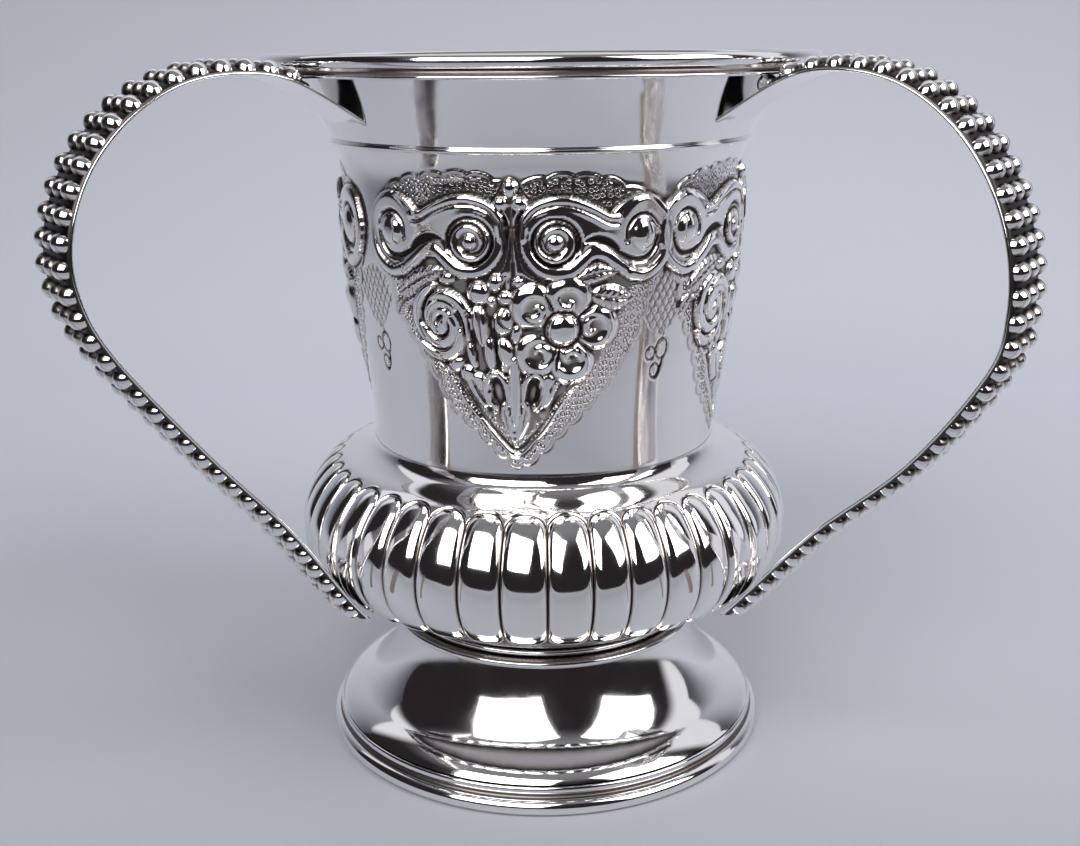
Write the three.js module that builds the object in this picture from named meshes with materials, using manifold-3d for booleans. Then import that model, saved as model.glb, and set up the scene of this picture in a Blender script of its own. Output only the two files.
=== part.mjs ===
// A two-handled silver cup for washing the hands, in millimetres, standing on z = 0 with +z up.
// The front is -y. The handles stand to the left (-x) and right (+x) and are swung towards the front.

import * as THREE from "three";
import { mergeVertices } from "three/addons/utils/BufferGeometryUtils.js";
import Module from "manifold-3d";

const wasm = await Module();
wasm.setup();

// Base moulding: a roll on the table with a band above it
const BASE_RADIUS = 43.4;
const BASE_WIDTH = 4.8;
const BASE_ROLL_HEIGHT = 3.0;
const BASE_ROLL_EDGE = 0.5;
const BASE_ROLL_FLAT = [0.3, 0.6];
const BASE_BAND_HEIGHT = 2.2;
const BASE_BAND_STEP = 1.5;
const BASE_BAND_ROUND = 0.3;

// Foot, which spreads from the waist to a shoulder just inside the base moulding
const FOOT_HEIGHT = 16.6;
const FOOT_SHOULDER_STEP = 2.0;
const FOOT_SHOULDER_FULLNESS = 0.9;
const FOOT_SHOULDER_SHARE = 0.75;
const WAIST_RADIUS = 28.8;
const FOOT_COVE_REACH = 6.0;
const FOOT_COVE_DROP = 10.2;
const FOOT_THROAT_REACH = 0.6;

// Two wire collars at the waist
const LOWER_COLLAR_HEIGHT = 1.3;
const LOWER_COLLAR_REACH = 1.7;
const UPPER_COLLAR_HEIGHT = 1.1;
const UPPER_COLLAR_REACH = -0.2;
const COLLAR_WIDTH = 4.8;
const COLLAR_ROUND = 0.3;
const COLLAR_FLAT = [0.3, 0.7];

// Lobed bulb: two quarter ovals that meet on its widest line
const BULB_RADIUS = 47.1;
const BULB_LOWER_HEIGHT = 17.6;
const BULB_UPPER_HEIGHT = 16.6;
const BULB_NECKING = 1.4;
const BULB_MOUTH_REACH = 0.8;
const LOWER_OVAL_SHARE = 0.935;
const UPPER_OVAL_SHARE = 0.957;
const LOWER_OVAL_INSET = new THREE.Vector2(3.5, 2.3);
const UPPER_OVAL_INSET = new THREE.Vector2(0.6, 1.4);
const LOBE_COUNT = 42;
const LOBE_DEPTH = 1.0;
const LOBE_END_LENGTH = 3.0;
const LOBE_END_SHARE = 0.35;

// Beaker and its flared neck
const BEAKER_FOOT_RADIUS = 32.4;
const BEAKER_RADIUS = 36.4;
const BEAKER_HEIGHT = 51.8;
const BEAKER_TAPER_SHARE = 0.75;
const NECK_HEIGHT = 17.3;
const NECK_FLARE = 10.8;
const NECK_BEND = new THREE.Vector2(0.38, 0.58);
const NECK_WIRE_RISE = 4.4;
const NECK_WIRE_RADIUS = 0.5;
const WALL = 0.8;

// Rim moulding: a roll on top and a thin lip under it
const RIM_OVERHANG = 2.9;
const RIM_HEIGHT = 3.7;
const RIM_ROLL_RADIUS = 1.05;
const RIM_LIP_STEP = 1.2;
const RIM_LIP_HEIGHT = 0.5;
const RIM_COVE_STEP = 1.7;
const RIM_COVE_HEIGHT = 1.2;
const RIM_ROLL_FACETS = [-50, 0, 45, 90, 150];
const RIM_SEAT_ROOM = 0.42;

// Handles
const SWING = THREE.MathUtils.degToRad(36);
const HANDLE_REACH = 40.0;
const STRAP_WIDTH = 12.6;
const STRAP_THICKNESS = 0.8;
const STRAP_SEAT_DEPTH = 1.0;
const STRAP_UNDER_RIM = 0.35;
const STRAP_SEAT_ROOM = 0.39;
const BEADING_WIDTH = 11.8;
const BEADING_THICKNESS = 0.4;
const BEADING_START = 12.6;
const BEADING_END = 6.5;
const BEAD_RADIUS = 1.45;
const BEAD_HEIGHT = 1.15;
const BEAD_CROWN = 0.7;
const BEAD_CROWN_HEIGHT = 0.8;
const BEAD_ROW_PITCH = 3.75;
const BEAD_LINE_PITCH = 4.3;
const BEAD_LINES = 3;

// Frieze in relief, chased four times round the beaker and spaced by eye: degrees to the right of the front
const FRIEZE_PLACES = [-7.5, 75.7, 164.1, -107.4];
const FRIEZE_DEPTH = 0.5;
const RELIEF = 1.0;

// Forms of one repeat: degrees from its middle, share of the beaker's height, half width, half height, and the
// degrees that a form leans to the left
const LARGE_VOLUTE = [11, 0.793, 5.4, 5.8];
const SMALL_VOLUTE = [34.2, 0.79, 5.2, 6.4];
const TREFOIL = [-0.3, 0.905, 2.4, 2.6];
const ROSE = [-20.7, 0.515, 5.6, 6.4];
const FLOWER_EYE = [12.8, 0.525, 2.8, 2.8];
const FLOWER_EYE_RELIEF = 1.2;
const LEAVES = [[23.5, 0.65, 5.4, 2.4, 8], [-27.5, 0.665, 4.8, 2.0, 28]];
const BUDS = [[-9.5, 0.625, 2.2, 2.3], [-3.8, 0.635, 2.1, 2.6], [-8.8, 0.5, 1.8, 4.6, 4], [-2.9, 0.49, 2.2, 5.2, -8]];
const TIP_LEAF = [6.5, 0.235, 2.4, 7.4, -34];
const TIP_MIDDLE_LEAF = [-0.3, 0.24, 1.8, 8.4, 0];

// Petals round the flower's eye
const PETALS = 5;
const PETAL_SPREAD = 5.4;
const PETAL_TURN = 1.3;
const PETAL_HALF_LENGTH = 3.4;
const PETAL_HALF_WIDTH = 3.0;

// Flat field of a scroll between its volutes: degrees from the middle, and shares of the height below and above
const SCROLL_FIELD = [[14.5, 0.705, 0.915], [21, 0.735, 0.9], [28, 0.7, 0.875]];
const SCROLL_RELIEF = 0.7;

// The joints are soldered, with this much room left between the pieces.
const SOLDER_GAP = 0.3;

// Facets round the cup and its small rings, along a handle and round a bead
const ROUND = 36;
const RING_ROUND = 36;
const FACETS_PER_LOBE = 3;
const STRAP_STEPS = 28;
const BEAD_SIDES = 5;

const BASE_HEIGHT = BASE_ROLL_HEIGHT + BASE_BAND_HEIGHT;
const FOOT_BOTTOM = BASE_HEIGHT + SOLDER_GAP;
const FOOT_TOP = FOOT_BOTTOM + FOOT_HEIGHT;
const LOWER_COLLAR_BOTTOM = FOOT_TOP + SOLDER_GAP;
const UPPER_COLLAR_BOTTOM = LOWER_COLLAR_BOTTOM + LOWER_COLLAR_HEIGHT + SOLDER_GAP;
const BULB_BOTTOM = UPPER_COLLAR_BOTTOM + UPPER_COLLAR_HEIGHT + SOLDER_GAP;
const BULB_WIDEST = BULB_BOTTOM + BULB_LOWER_HEIGHT;
const BULB_TOP = BULB_WIDEST + BULB_UPPER_HEIGHT;
const BEAKER_BOTTOM = BULB_TOP + SOLDER_GAP;
const BEAKER_TOP = BEAKER_BOTTOM + BEAKER_HEIGHT;
const LIP_TOP = BEAKER_TOP + NECK_HEIGHT;
const LIP_RADIUS = BEAKER_RADIUS + NECK_FLARE;
const CUP_HEIGHT = LIP_TOP + RIM_ROLL_RADIUS;
const RIM_RADIUS = LIP_RADIUS + RIM_OVERHANG;
const COLLAR_BORE_RADIUS = WAIST_RADIUS - COLLAR_WIDTH;
const BULB_WAIST_RADIUS = WAIST_RADIUS - BULB_NECKING;
const BULB_MOUTH_RADIUS = BEAKER_FOOT_RADIUS + BULB_MOUTH_REACH;

const silver = new THREE.MeshStandardMaterial({
  name: "silver",
  color: 0xd9d7d3,
  metalness: 1,
  roughness: 0.16,
});

const point = (r, z) => new THREE.Vector2(r, z);

const smoothstep = (t) => {
  const x = THREE.MathUtils.clamp(t, 0, 1);
  return x * x * (3 - 2 * x);
};

// Twice the signed area of a closed outline
function turn(outline) {
  return outline.reduce((sum, p, i) => sum + p.cross(outline[(i + 1) % outline.length]), 0);
}

// Turns a closed outline of (radius, height) round the z axis.
function revolve(outline, facets) {
  const upright = turn(outline) > 0 ? outline : [...outline].reverse();
  const onAxis = upright.some((p) => p.x < 1e-6);
  const geometry = new THREE.LatheGeometry(onAxis ? upright : [...upright, upright[0]], facets);
  return geometry.rotateX(Math.PI / 2);
}

function toSolid(geometry) {
  const bare = new THREE.BufferGeometry();
  bare.setAttribute("position", geometry.getAttribute("position"));
  bare.setIndex(geometry.index);
  const merged = mergeVertices(bare, 1e-4);
  const corners = merged.index.array;
  const kept = [];
  for (let i = 0; i < corners.length; i += 3) {
    const [a, b, c] = [corners[i], corners[i + 1], corners[i + 2]];
    if (a !== b && b !== c && c !== a) kept.push(a, b, c);
  }
  const vertProperties = new Float32Array(merged.attributes.position.array);
  return new wasm.Manifold(new wasm.Mesh({ numProp: 3, vertProperties, triVerts: new Uint32Array(kept) }));
}

function toGeometry(solid) {
  const { vertProperties, triVerts, numProp } = solid.getMesh();
  const geometry = new THREE.BufferGeometry();
  geometry.setAttribute("position", new THREE.BufferAttribute(new Float32Array(vertProperties), numProp));
  geometry.setIndex([...triVerts]);
  return geometry;
}

const cup = new THREE.Group();
cup.name = "hand_washing_cup";

function add(name, geometry) {
  const flat = geometry.index ? geometry.toNonIndexed() : geometry;
  flat.computeVertexNormals();
  const mesh = new THREE.Mesh(flat, silver);
  mesh.name = name;
  cup.add(mesh);
}

// Points on part of an oval quarter, from its widest point to another point, which lies at the given share of
// the oval's height
function quarter(widest, end, share, steps) {
  const last = Math.asin(share);
  return Array.from({ length: steps + 1 }, (_, i) => {
    const a = (last * i) / steps;
    const inward = (1 - Math.cos(a)) / (1 - Math.cos(last));
    return point(
      THREE.MathUtils.lerp(widest.x, end.x, inward),
      THREE.MathUtils.lerp(widest.y, end.y, Math.sin(a) / share),
    );
  });
}

// An outline moved sideways, to the right of its direction where the distance is above zero
function inset(outline, distance) {
  return outline.map((p, i) => {
    const before = outline[Math.max(0, i - 1)];
    const after = outline[Math.min(outline.length - 1, i + 1)];
    const along = after.clone().sub(before).normalize();
    return point(p.x + along.y * distance, p.y - along.x * distance);
  });
}

function outlineRadius(outline, z) {
  const i = Math.max(1, outline.findIndex((p) => p.y >= z));
  const [a, b] = [outline[i - 1], outline[i]];
  return THREE.MathUtils.mapLinear(z, a.y, b.y, a.x, b.x);
}

function addBase() {
  const band = BASE_RADIUS - BASE_BAND_STEP;
  const bore = BASE_RADIUS - BASE_WIDTH;
  const roll = BASE_ROLL_HEIGHT;
  add("base_moulding", revolve([
    point(bore, 0),
    point(BASE_RADIUS - BASE_ROLL_EDGE, 0),
    point(BASE_RADIUS, roll * BASE_ROLL_FLAT[0]),
    point(BASE_RADIUS, roll * BASE_ROLL_FLAT[1]),
    point(band - BASE_BAND_ROUND, roll),
    point(band, roll + BASE_ROLL_EDGE),
    point(band, BASE_HEIGHT - BASE_BAND_ROUND),
    point(band - BASE_BAND_ROUND, BASE_HEIGHT),
    point(bore, BASE_HEIGHT),
  ], ROUND));
}

// The foot's outside comes down from the waist in a cove and rounds over a full shoulder.
function footSide(coveSteps, shoulderSteps) {
  const shoulder = BASE_RADIUS - FOOT_SHOULDER_STEP;
  const turningPoint = point(WAIST_RADIUS + FOOT_COVE_REACH, FOOT_TOP - FOOT_COVE_DROP);
  const cove = new THREE.QuadraticBezierCurve(
    point(WAIST_RADIUS, FOOT_TOP),
    point(WAIST_RADIUS + FOOT_THROAT_REACH, FOOT_TOP - FOOT_HEIGHT / 2),
    turningPoint,
  );
  const round = new THREE.QuadraticBezierCurve(
    turningPoint,
    point(shoulder - FOOT_SHOULDER_FULLNESS, FOOT_TOP - FOOT_HEIGHT * FOOT_SHOULDER_SHARE),
    point(shoulder, FOOT_BOTTOM),
  );
  return [...cove.getPoints(coveSteps), ...round.getPoints(shoulderSteps).slice(1)];
}

function addFoot() {
  const inside = inset(footSide(3, 2), WALL).slice(1, -1);
  add("spreading_foot", revolve([
    point(COLLAR_BORE_RADIUS, FOOT_TOP),
    ...footSide(4, 3),
    point(BASE_RADIUS - FOOT_SHOULDER_STEP - WALL, FOOT_BOTTOM),
    ...inside.reverse(),
    point(WAIST_RADIUS - WALL, FOOT_TOP - WALL),
    point(COLLAR_BORE_RADIUS, FOOT_TOP - WALL),
  ], ROUND));
}

function addCollar(name, reach, bottom, height) {
  const radius = WAIST_RADIUS + reach;
  add(name, revolve([
    point(COLLAR_BORE_RADIUS, bottom),
    point(radius - COLLAR_ROUND, bottom),
    point(radius, bottom + height * COLLAR_FLAT[0]),
    point(radius, bottom + height * COLLAR_FLAT[1]),
    point(radius - COLLAR_ROUND, bottom + height),
    point(COLLAR_BORE_RADIUS, bottom + height),
  ], RING_ROUND));
}

// One side of the bulb without its lobes, from the waist to the mouth, moved out by the given distance
function bulbSide(outward, lowerSteps, upperSteps) {
  const widest = point(BULB_RADIUS - LOBE_DEPTH + outward, BULB_WIDEST);
  const waist = point(BULB_WAIST_RADIUS + LOWER_OVAL_INSET.x + outward, BULB_BOTTOM + LOWER_OVAL_INSET.y);
  const mouth = point(BULB_MOUTH_RADIUS - UPPER_OVAL_INSET.x + outward, BULB_TOP - UPPER_OVAL_INSET.y);
  const lower = quarter(widest, waist, LOWER_OVAL_SHARE, lowerSteps);
  const upper = quarter(widest, mouth, UPPER_OVAL_SHARE, upperSteps);
  return [...lower.reverse(), ...upper.slice(1)];
}

// Height of the lobes, 1 along a crown and 0 in the chased line between two of them
function lobeHeight(azimuth) {
  return Math.sqrt(Math.abs(Math.sin((azimuth * LOBE_COUNT) / 2)));
}

function addBulb() {
  const side = bulbSide(0, 3, 4);
  const geometry = revolve([
    point(0, BULB_BOTTOM),
    point(BULB_WAIST_RADIUS, BULB_BOTTOM),
    ...side,
    point(BULB_MOUTH_RADIUS, BULB_TOP),
    point(0, BULB_TOP),
  ], LOBE_COUNT * FACETS_PER_LOBE);
  const position = geometry.getAttribute("position");
  const lobesFrom = side[1].y;
  const lobesTo = side[side.length - 2].y;
  for (let i = 0; i < position.count; i++) {
    const [x, y, z] = [position.getX(i), position.getY(i), position.getZ(i)];
    const fromEnd = Math.min(z - lobesFrom, lobesTo - z);
    if (fromEnd < -0.01) continue;
    const share = smoothstep(LOBE_END_SHARE + fromEnd / LOBE_END_LENGTH);
    const grow = 1 + (LOBE_DEPTH * share * lobeHeight(Math.atan2(x, -y))) / Math.hypot(x, y);
    position.setXY(i, x * grow, y * grow);
  }
  const inner = bulbSide(-WALL, 3, 3);
  const throat = BULB_MOUTH_RADIUS - WALL;
  const hollow = revolve([
    point(0, inner[0].y),
    ...inner,
    point(throat, BULB_TOP - WALL),
    point(throat, BULB_TOP + WALL),
    point(0, BULB_TOP + WALL),
  ], ROUND);
  add("gadrooned_bulb", toGeometry(toSolid(geometry).subtract(toSolid(hollow))));
}

function beakerRadius(z) {
  const share = (z - BEAKER_BOTTOM) / BEAKER_HEIGHT / BEAKER_TAPER_SHARE;
  return THREE.MathUtils.lerp(BEAKER_FOOT_RADIUS, BEAKER_RADIUS, smoothstep(share));
}

// The outside of the beaker, and of the neck that flares from it to the lip in one sweep
function beakerSide(beakerSteps, neckSteps) {
  const neck = new THREE.QuadraticBezierCurve(
    point(BEAKER_RADIUS, BEAKER_TOP),
    point(BEAKER_RADIUS + NECK_FLARE * NECK_BEND.x, BEAKER_TOP + NECK_HEIGHT * NECK_BEND.y),
    point(LIP_RADIUS, LIP_TOP),
  );
  const beaker = Array.from({ length: beakerSteps }, (_, i) => {
    const z = BEAKER_BOTTOM + (BEAKER_HEIGHT * i) / beakerSteps;
    return point(beakerRadius(z), z);
  });
  return [...beaker, ...neck.getPoints(neckSteps)];
}

const beakerOutside = beakerSide(6, 4);

// A solid of the frieze to be set on the wall: x and y across it, z out of it, turned from a half profile
function boss(profile, sides) {
  const outline = profile.map(([r, h]) => point(r, h));
  return new THREE.LatheGeometry([point(0, -FRIEZE_DEPTH), point(1, -FRIEZE_DEPTH), ...outline], sides)
    .rotateX(Math.PI / 2);
}

const across = (degrees) => THREE.MathUtils.degToRad(degrees) * BEAKER_RADIUS;

// Bends a form round the wall: x across it, y up from the beaker's foot and z out of it
function bend(form) {
  const position = form.getAttribute("position");
  for (let i = 0; i < position.count; i++) {
    const azimuth = position.getX(i) / BEAKER_RADIUS;
    const z = BEAKER_BOTTOM + position.getY(i);
    const radius = beakerRadius(z) + position.getZ(i);
    position.setXYZ(i, radius * Math.sin(azimuth), -radius * Math.cos(azimuth), z);
  }
  return form;
}

// Sets a turned form on the wall, on the right for hand 1 and mirrored for hand -1
function emboss(shape, [degrees, share, width, height, lean = 0], relief = RELIEF, hand = 1) {
  const form = shape.clone().scale(width, height, relief).rotateZ(THREE.MathUtils.degToRad(hand * lean));
  return bend(form.translate(hand * across(degrees), BEAKER_HEIGHT * share, 0));
}

function scrollField(hand) {
  const spans = SCROLL_FIELD.length - 1;
  const form = new THREE.BoxGeometry(1, 1, FRIEZE_DEPTH + SCROLL_RELIEF, spans, 1, 1);
  const position = form.getAttribute("position");
  for (let i = 0; i < position.count; i++) {
    const [degrees, low, high] = SCROLL_FIELD[Math.round((0.5 + hand * position.getX(i)) * spans)];
    const share = position.getY(i) > 0 ? high : low;
    const out = position.getZ(i) + (SCROLL_RELIEF - FRIEZE_DEPTH) / 2;
    position.setXYZ(i, hand * across(degrees), BEAKER_HEIGHT * share, out);
  }
  return bend(form);
}

// The forms of one repeat: two scrolls with a trefoil between them, a flower, a rose and a tip of three leaves
function friezeForms() {
  const volute = boss([[0.86, 0.8], [0.45, 0.3], [0, 1.1]], 8);
  const dome = boss([[0.7, 0.7], [0, 1]], 6);
  const leaf = boss([[0, 1]], 4);
  const forms = [];
  for (const hand of [-1, 1]) {
    forms.push(scrollField(hand));
    forms.push(emboss(volute, LARGE_VOLUTE, RELIEF, hand));
    forms.push(emboss(volute, SMALL_VOLUTE, RELIEF, hand));
    forms.push(emboss(leaf, TIP_LEAF, RELIEF, hand));
  }
  forms.push(emboss(leaf, TIP_MIDDLE_LEAF));
  forms.push(emboss(dome, TREFOIL));
  forms.push(emboss(volute, ROSE));
  forms.push(...LEAVES.map((place) => emboss(leaf, place)));
  forms.push(...BUDS.map((place) => emboss(leaf, place)));

  const [degrees, share] = FLOWER_EYE;
  forms.push(emboss(dome, FLOWER_EYE, RELIEF * FLOWER_EYE_RELIEF));
  for (let i = 0; i < PETALS; i++) {
    const a = (2 * Math.PI * i) / PETALS + PETAL_TURN;
    forms.push(emboss(leaf, [
      degrees + THREE.MathUtils.radToDeg((PETAL_SPREAD * Math.cos(a)) / BEAKER_RADIUS),
      share + (PETAL_SPREAD * Math.sin(a)) / BEAKER_HEIGHT,
      PETAL_HALF_LENGTH,
      PETAL_HALF_WIDTH,
      THREE.MathUtils.radToDeg(a),
    ]));
  }
  return forms;
}

function addBeaker() {
  const inside = inset(beakerSide(4, 3), -WALL);
  inside[0] = point(BEAKER_FOOT_RADIUS - WALL, BEAKER_BOTTOM);
  const pieces = [toSolid(revolve([...beakerOutside, ...inside.reverse()], ROUND))];
  const relief = friezeForms().map(toSolid);
  for (const place of FRIEZE_PLACES) {
    pieces.push(...relief.map((form) => form.rotate([0, 0, place])));
  }
  add("beaker_body", toGeometry(wasm.Manifold.union(pieces)));
}

function addNeckWire() {
  const height = BEAKER_TOP + NECK_WIRE_RISE;
  const centre = outlineRadius(beakerOutside, height) + SOLDER_GAP + NECK_WIRE_RADIUS;
  const ring = new THREE.TorusGeometry(centre, NECK_WIRE_RADIUS, 4, ROUND);
  add("neck_wire", ring.translate(0, 0, height));
}

function addRim() {
  const bottom = CUP_HEIGHT - RIM_HEIGHT;
  const roll = point(RIM_RADIUS - RIM_ROLL_RADIUS, CUP_HEIGHT - RIM_ROLL_RADIUS);
  const onRoll = (degrees) => {
    const a = THREE.MathUtils.degToRad(degrees);
    return point(roll.x + RIM_ROLL_RADIUS * Math.cos(a), roll.y + RIM_ROLL_RADIUS * Math.sin(a));
  };
  const seat = outlineRadius(beakerOutside, bottom) + RIM_SEAT_ROOM;
  add("rim_moulding", revolve([
    point(seat, bottom),
    point(RIM_RADIUS - RIM_LIP_STEP - BASE_BAND_ROUND, bottom),
    point(RIM_RADIUS - RIM_LIP_STEP, bottom + RIM_LIP_HEIGHT),
    point(RIM_RADIUS - RIM_COVE_STEP, bottom + RIM_COVE_HEIGHT),
    ...RIM_ROLL_FACETS.map(onRoll),
  ], ROUND));
}

// The free part of each strap, as shares of the way down from the lip to the bulb's widest line, and of the
// reach outward. The two were bent by hand, so they differ.
const LEFT_BEND = [
  [0.017, 0.261], [0.033, 0.495], [0.088, 0.709], [0.177, 0.883], [0.286, 0.979], [0.388, 0.977],
  [0.499, 0.877], [0.703, 0.565], [0.888, 0.249], [1.07, 0.0], [1.147, -0.127],
];
const RIGHT_BEND = [
  [0.019, 0.266], [0.043, 0.503], [0.109, 0.713], [0.202, 0.87], [0.312, 0.968], [0.426, 0.997],
  [0.533, 0.95], [0.723, 0.684], [0.895, 0.317], [1.067, 0.013], [1.144, -0.122],
];

// The centre line of a strap: from the neck, under the rim, out, and down to the bulb
function strapLine(bend) {
  const neck = LIP_TOP - NECK_HEIGHT * NECK_BEND.y;
  const underRim = CUP_HEIGHT - RIM_HEIGHT - STRAP_UNDER_RIM;
  const free = bend.map(([down, out]) => point(
    THREE.MathUtils.lerp(RIM_RADIUS, BULB_RADIUS, down) + HANDLE_REACH * out,
    THREE.MathUtils.lerp(LIP_TOP, BULB_WIDEST, down),
  ));
  return new THREE.SplineCurve([
    point(outlineRadius(beakerOutside, neck) - STRAP_SEAT_DEPTH, neck),
    point(RIM_RADIUS + RIM_ROLL_RADIUS, underRim),
    ...free,
  ]);
}

// The outline between two lines beside a curve, both on its outer side where they are above zero
function ribbon(curve, from, to, inner, outer, steps) {
  const side = (offset) => Array.from({ length: steps + 1 }, (_, i) => {
    const u = from + ((to - from) * i) / steps;
    const p = curve.getPointAt(u);
    const along = curve.getTangentAt(u);
    return point(p.x - along.y * offset, p.y + along.x * offset);
  });
  return [...side(inner), ...side(outer).reverse()];
}

function extrude(outline, width) {
  const upright = turn(outline) > 0 ? outline : [...outline].reverse();
  const geometry = new THREE.ExtrudeGeometry(new THREE.Shape(upright), { depth: width, bevelEnabled: false });
  return geometry.translate(0, 0, -width / 2);
}

// What the handles are soldered to, with the room for the solder round it
function seatForHandles() {
  const close = (line) => [point(0, line[0].y), ...line, point(0, line[line.length - 1].y)];
  const neck = beakerOutside.map((p) => point(p.x + STRAP_SEAT_ROOM, p.y));
  const bulb = bulbSide(LOBE_DEPTH + STRAP_SEAT_ROOM, 5, 5);
  return toSolid(revolve(close(neck), ROUND)).add(toSolid(revolve(close(bulb), ROUND)));
}

function bead() {
  return new THREE.LatheGeometry([
    point(0, -BEADING_THICKNESS / 2),
    point(BEAD_RADIUS, -BEADING_THICKNESS / 2),
    point(BEAD_RADIUS * BEAD_CROWN, BEAD_HEIGHT * BEAD_CROWN_HEIGHT),
    point(0, BEAD_HEIGHT),
  ], BEAD_SIDES);
}

function addHandle(side, bend, seat) {
  const curve = strapLine(bend);
  const length = curve.getLength();
  const outward = side === "left" ? -1 : 1;
  const away = new THREE.Vector3(outward * Math.cos(SWING), -Math.sin(SWING), 0);
  const up = new THREE.Vector3(0, 0, 1);
  const place = new THREE.Matrix4().makeBasis(away, up, away.clone().cross(up));

  const section = ribbon(curve, 0, 1, -STRAP_THICKNESS / 2, STRAP_THICKNESS / 2, STRAP_STEPS);
  const strap = toSolid(extrude(section, STRAP_WIDTH).applyMatrix4(place));
  add(side + "_handle_strap", toGeometry(strap.subtract(seat)));

  const back = STRAP_THICKNESS / 2 + SOLDER_GAP;
  const face = back + BEADING_THICKNESS;
  const from = BEADING_START / length;
  const to = 1 - BEADING_END / length;
  const rows = Math.floor(((to - from) * length) / BEAD_ROW_PITCH);
  const strip = toSolid(extrude(ribbon(curve, from, to, back, face, rows), BEADING_WIDTH));
  const beads = [];
  for (let row = 0; row < rows; row++) {
    const u = from + ((to - from) * (row + 0.5)) / rows;
    const p = curve.getPointAt(u);
    const along = curve.getTangentAt(u);
    const normal = new THREE.Vector3(-along.y, along.x, 0);
    const turned = new THREE.Quaternion().setFromUnitVectors(new THREE.Vector3(0, 1, 0), normal);
    for (let line = 0; line < BEAD_LINES; line++) {
      const across = (line - (BEAD_LINES - 1) / 2) * BEAD_LINE_PITCH;
      const at = new THREE.Vector3(p.x, p.y, across).addScaledVector(normal, face);
      beads.push(toSolid(bead().applyQuaternion(turned).translate(at.x, at.y, at.z)));
    }
  }
  const strung = toGeometry(wasm.Manifold.union([strip, ...beads]));
  add(side + "_handle_beading", strung.applyMatrix4(place));
}

addBase();
addFoot();
addCollar("lower_collar", LOWER_COLLAR_REACH, LOWER_COLLAR_BOTTOM, LOWER_COLLAR_HEIGHT);
addCollar("upper_collar", UPPER_COLLAR_REACH, UPPER_COLLAR_BOTTOM, UPPER_COLLAR_HEIGHT);
addBulb();
addBeaker();
addNeckWire();
addRim();
const seat = seatForHandles();
addHandle("left", LEFT_BEND, seat);
addHandle("right", RIGHT_BEND, seat);

// The origin lies on the table under the middle of the whole outline, handles and all.
const middle = new THREE.Box3().setFromObject(cup).getCenter(new THREE.Vector3());
cup.children.forEach((mesh) => mesh.geometry.translate(0, -middle.y, 0));

export default cup;
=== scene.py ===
"""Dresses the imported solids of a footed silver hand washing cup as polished, chased and oxidised silver.

Sizes in the classes are in millimetres round the cup's own axis, the way a silversmith would measure them,
and each mesh is moved into the frame, in metres, when it is made.
"""
import logging
import math
from dataclasses import dataclass, field
from enum import Enum
from typing import Sequence

import bpy
import numpy as np
from mathutils import Matrix, Vector


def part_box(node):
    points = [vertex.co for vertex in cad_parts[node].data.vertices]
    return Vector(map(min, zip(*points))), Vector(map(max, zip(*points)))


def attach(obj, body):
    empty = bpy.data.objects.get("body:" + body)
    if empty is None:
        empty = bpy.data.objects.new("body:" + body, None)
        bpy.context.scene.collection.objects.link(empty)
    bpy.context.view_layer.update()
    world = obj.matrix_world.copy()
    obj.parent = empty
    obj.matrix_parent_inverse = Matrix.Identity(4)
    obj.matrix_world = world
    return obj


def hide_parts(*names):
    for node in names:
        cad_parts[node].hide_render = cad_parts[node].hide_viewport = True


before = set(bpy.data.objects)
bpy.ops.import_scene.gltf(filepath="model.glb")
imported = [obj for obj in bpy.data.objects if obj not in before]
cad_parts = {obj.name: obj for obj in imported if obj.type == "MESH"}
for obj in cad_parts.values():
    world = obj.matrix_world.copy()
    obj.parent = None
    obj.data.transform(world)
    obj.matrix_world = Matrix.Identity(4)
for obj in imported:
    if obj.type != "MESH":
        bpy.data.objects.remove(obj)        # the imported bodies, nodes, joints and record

Array = np.ndarray
Pair = tuple[float, float]
Colour = tuple[float, float, float]
Socket = bpy.types.NodeSocket

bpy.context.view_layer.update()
BODY = "root"
MM = 0.001
TURN = 2.0 * math.pi
SMOOTH_ANGLE = math.radians(38)

log = logging.getLogger("cup")


# Shared helpers

def smoothstep(t: Array) -> Array:
    """An even S-shaped rise from 0 to 1."""
    e = np.clip(t, 0.0, 1.0)
    return e * e * (3.0 - 2.0 * e)


def bulge(t: Array, fullness: float = 0.55) -> Array:
    """A rounded swelling, 1 where t is 0 and 0 from t = 1 on.

    Args:
        t: distance from the middle as a share of the half width.
        fullness: 0 for a parabola, and up to 1 for a squarer shoulder.

    Returns:
        The share of the full height.
    """
    q = np.clip(t, 0.0, 1.0) ** 2
    return (1.0 - q) * (1.0 + fullness * q)


def bezier(points: Sequence[Pair], steps: int) -> Array:
    """Points along a quadratic or cubic Bezier curve.

    Args:
        points: three or four control points, as (radius, height).
        steps: number of spans.

    Returns:
        An array of steps + 1 points.
    """
    t = np.linspace(0.0, 1.0, steps + 1)[:, None]
    degree = len(points) - 1
    weights = [math.comb(degree, k) * (1 - t) ** (degree - k) * t ** k for k in range(degree + 1)]
    return sum(w * np.array(p, float) for w, p in zip(weights, points))


def arc(centre: Pair, radius: float, start: float, end: float, steps: int) -> Array:
    """Points on a circular arc, as (radius, height), from one angle in degrees over the level to another."""
    a = np.radians(np.linspace(start, end, steps + 1))
    return np.stack([centre[0] + radius * np.cos(a), centre[1] + radius * np.sin(a)], axis=1)


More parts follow.
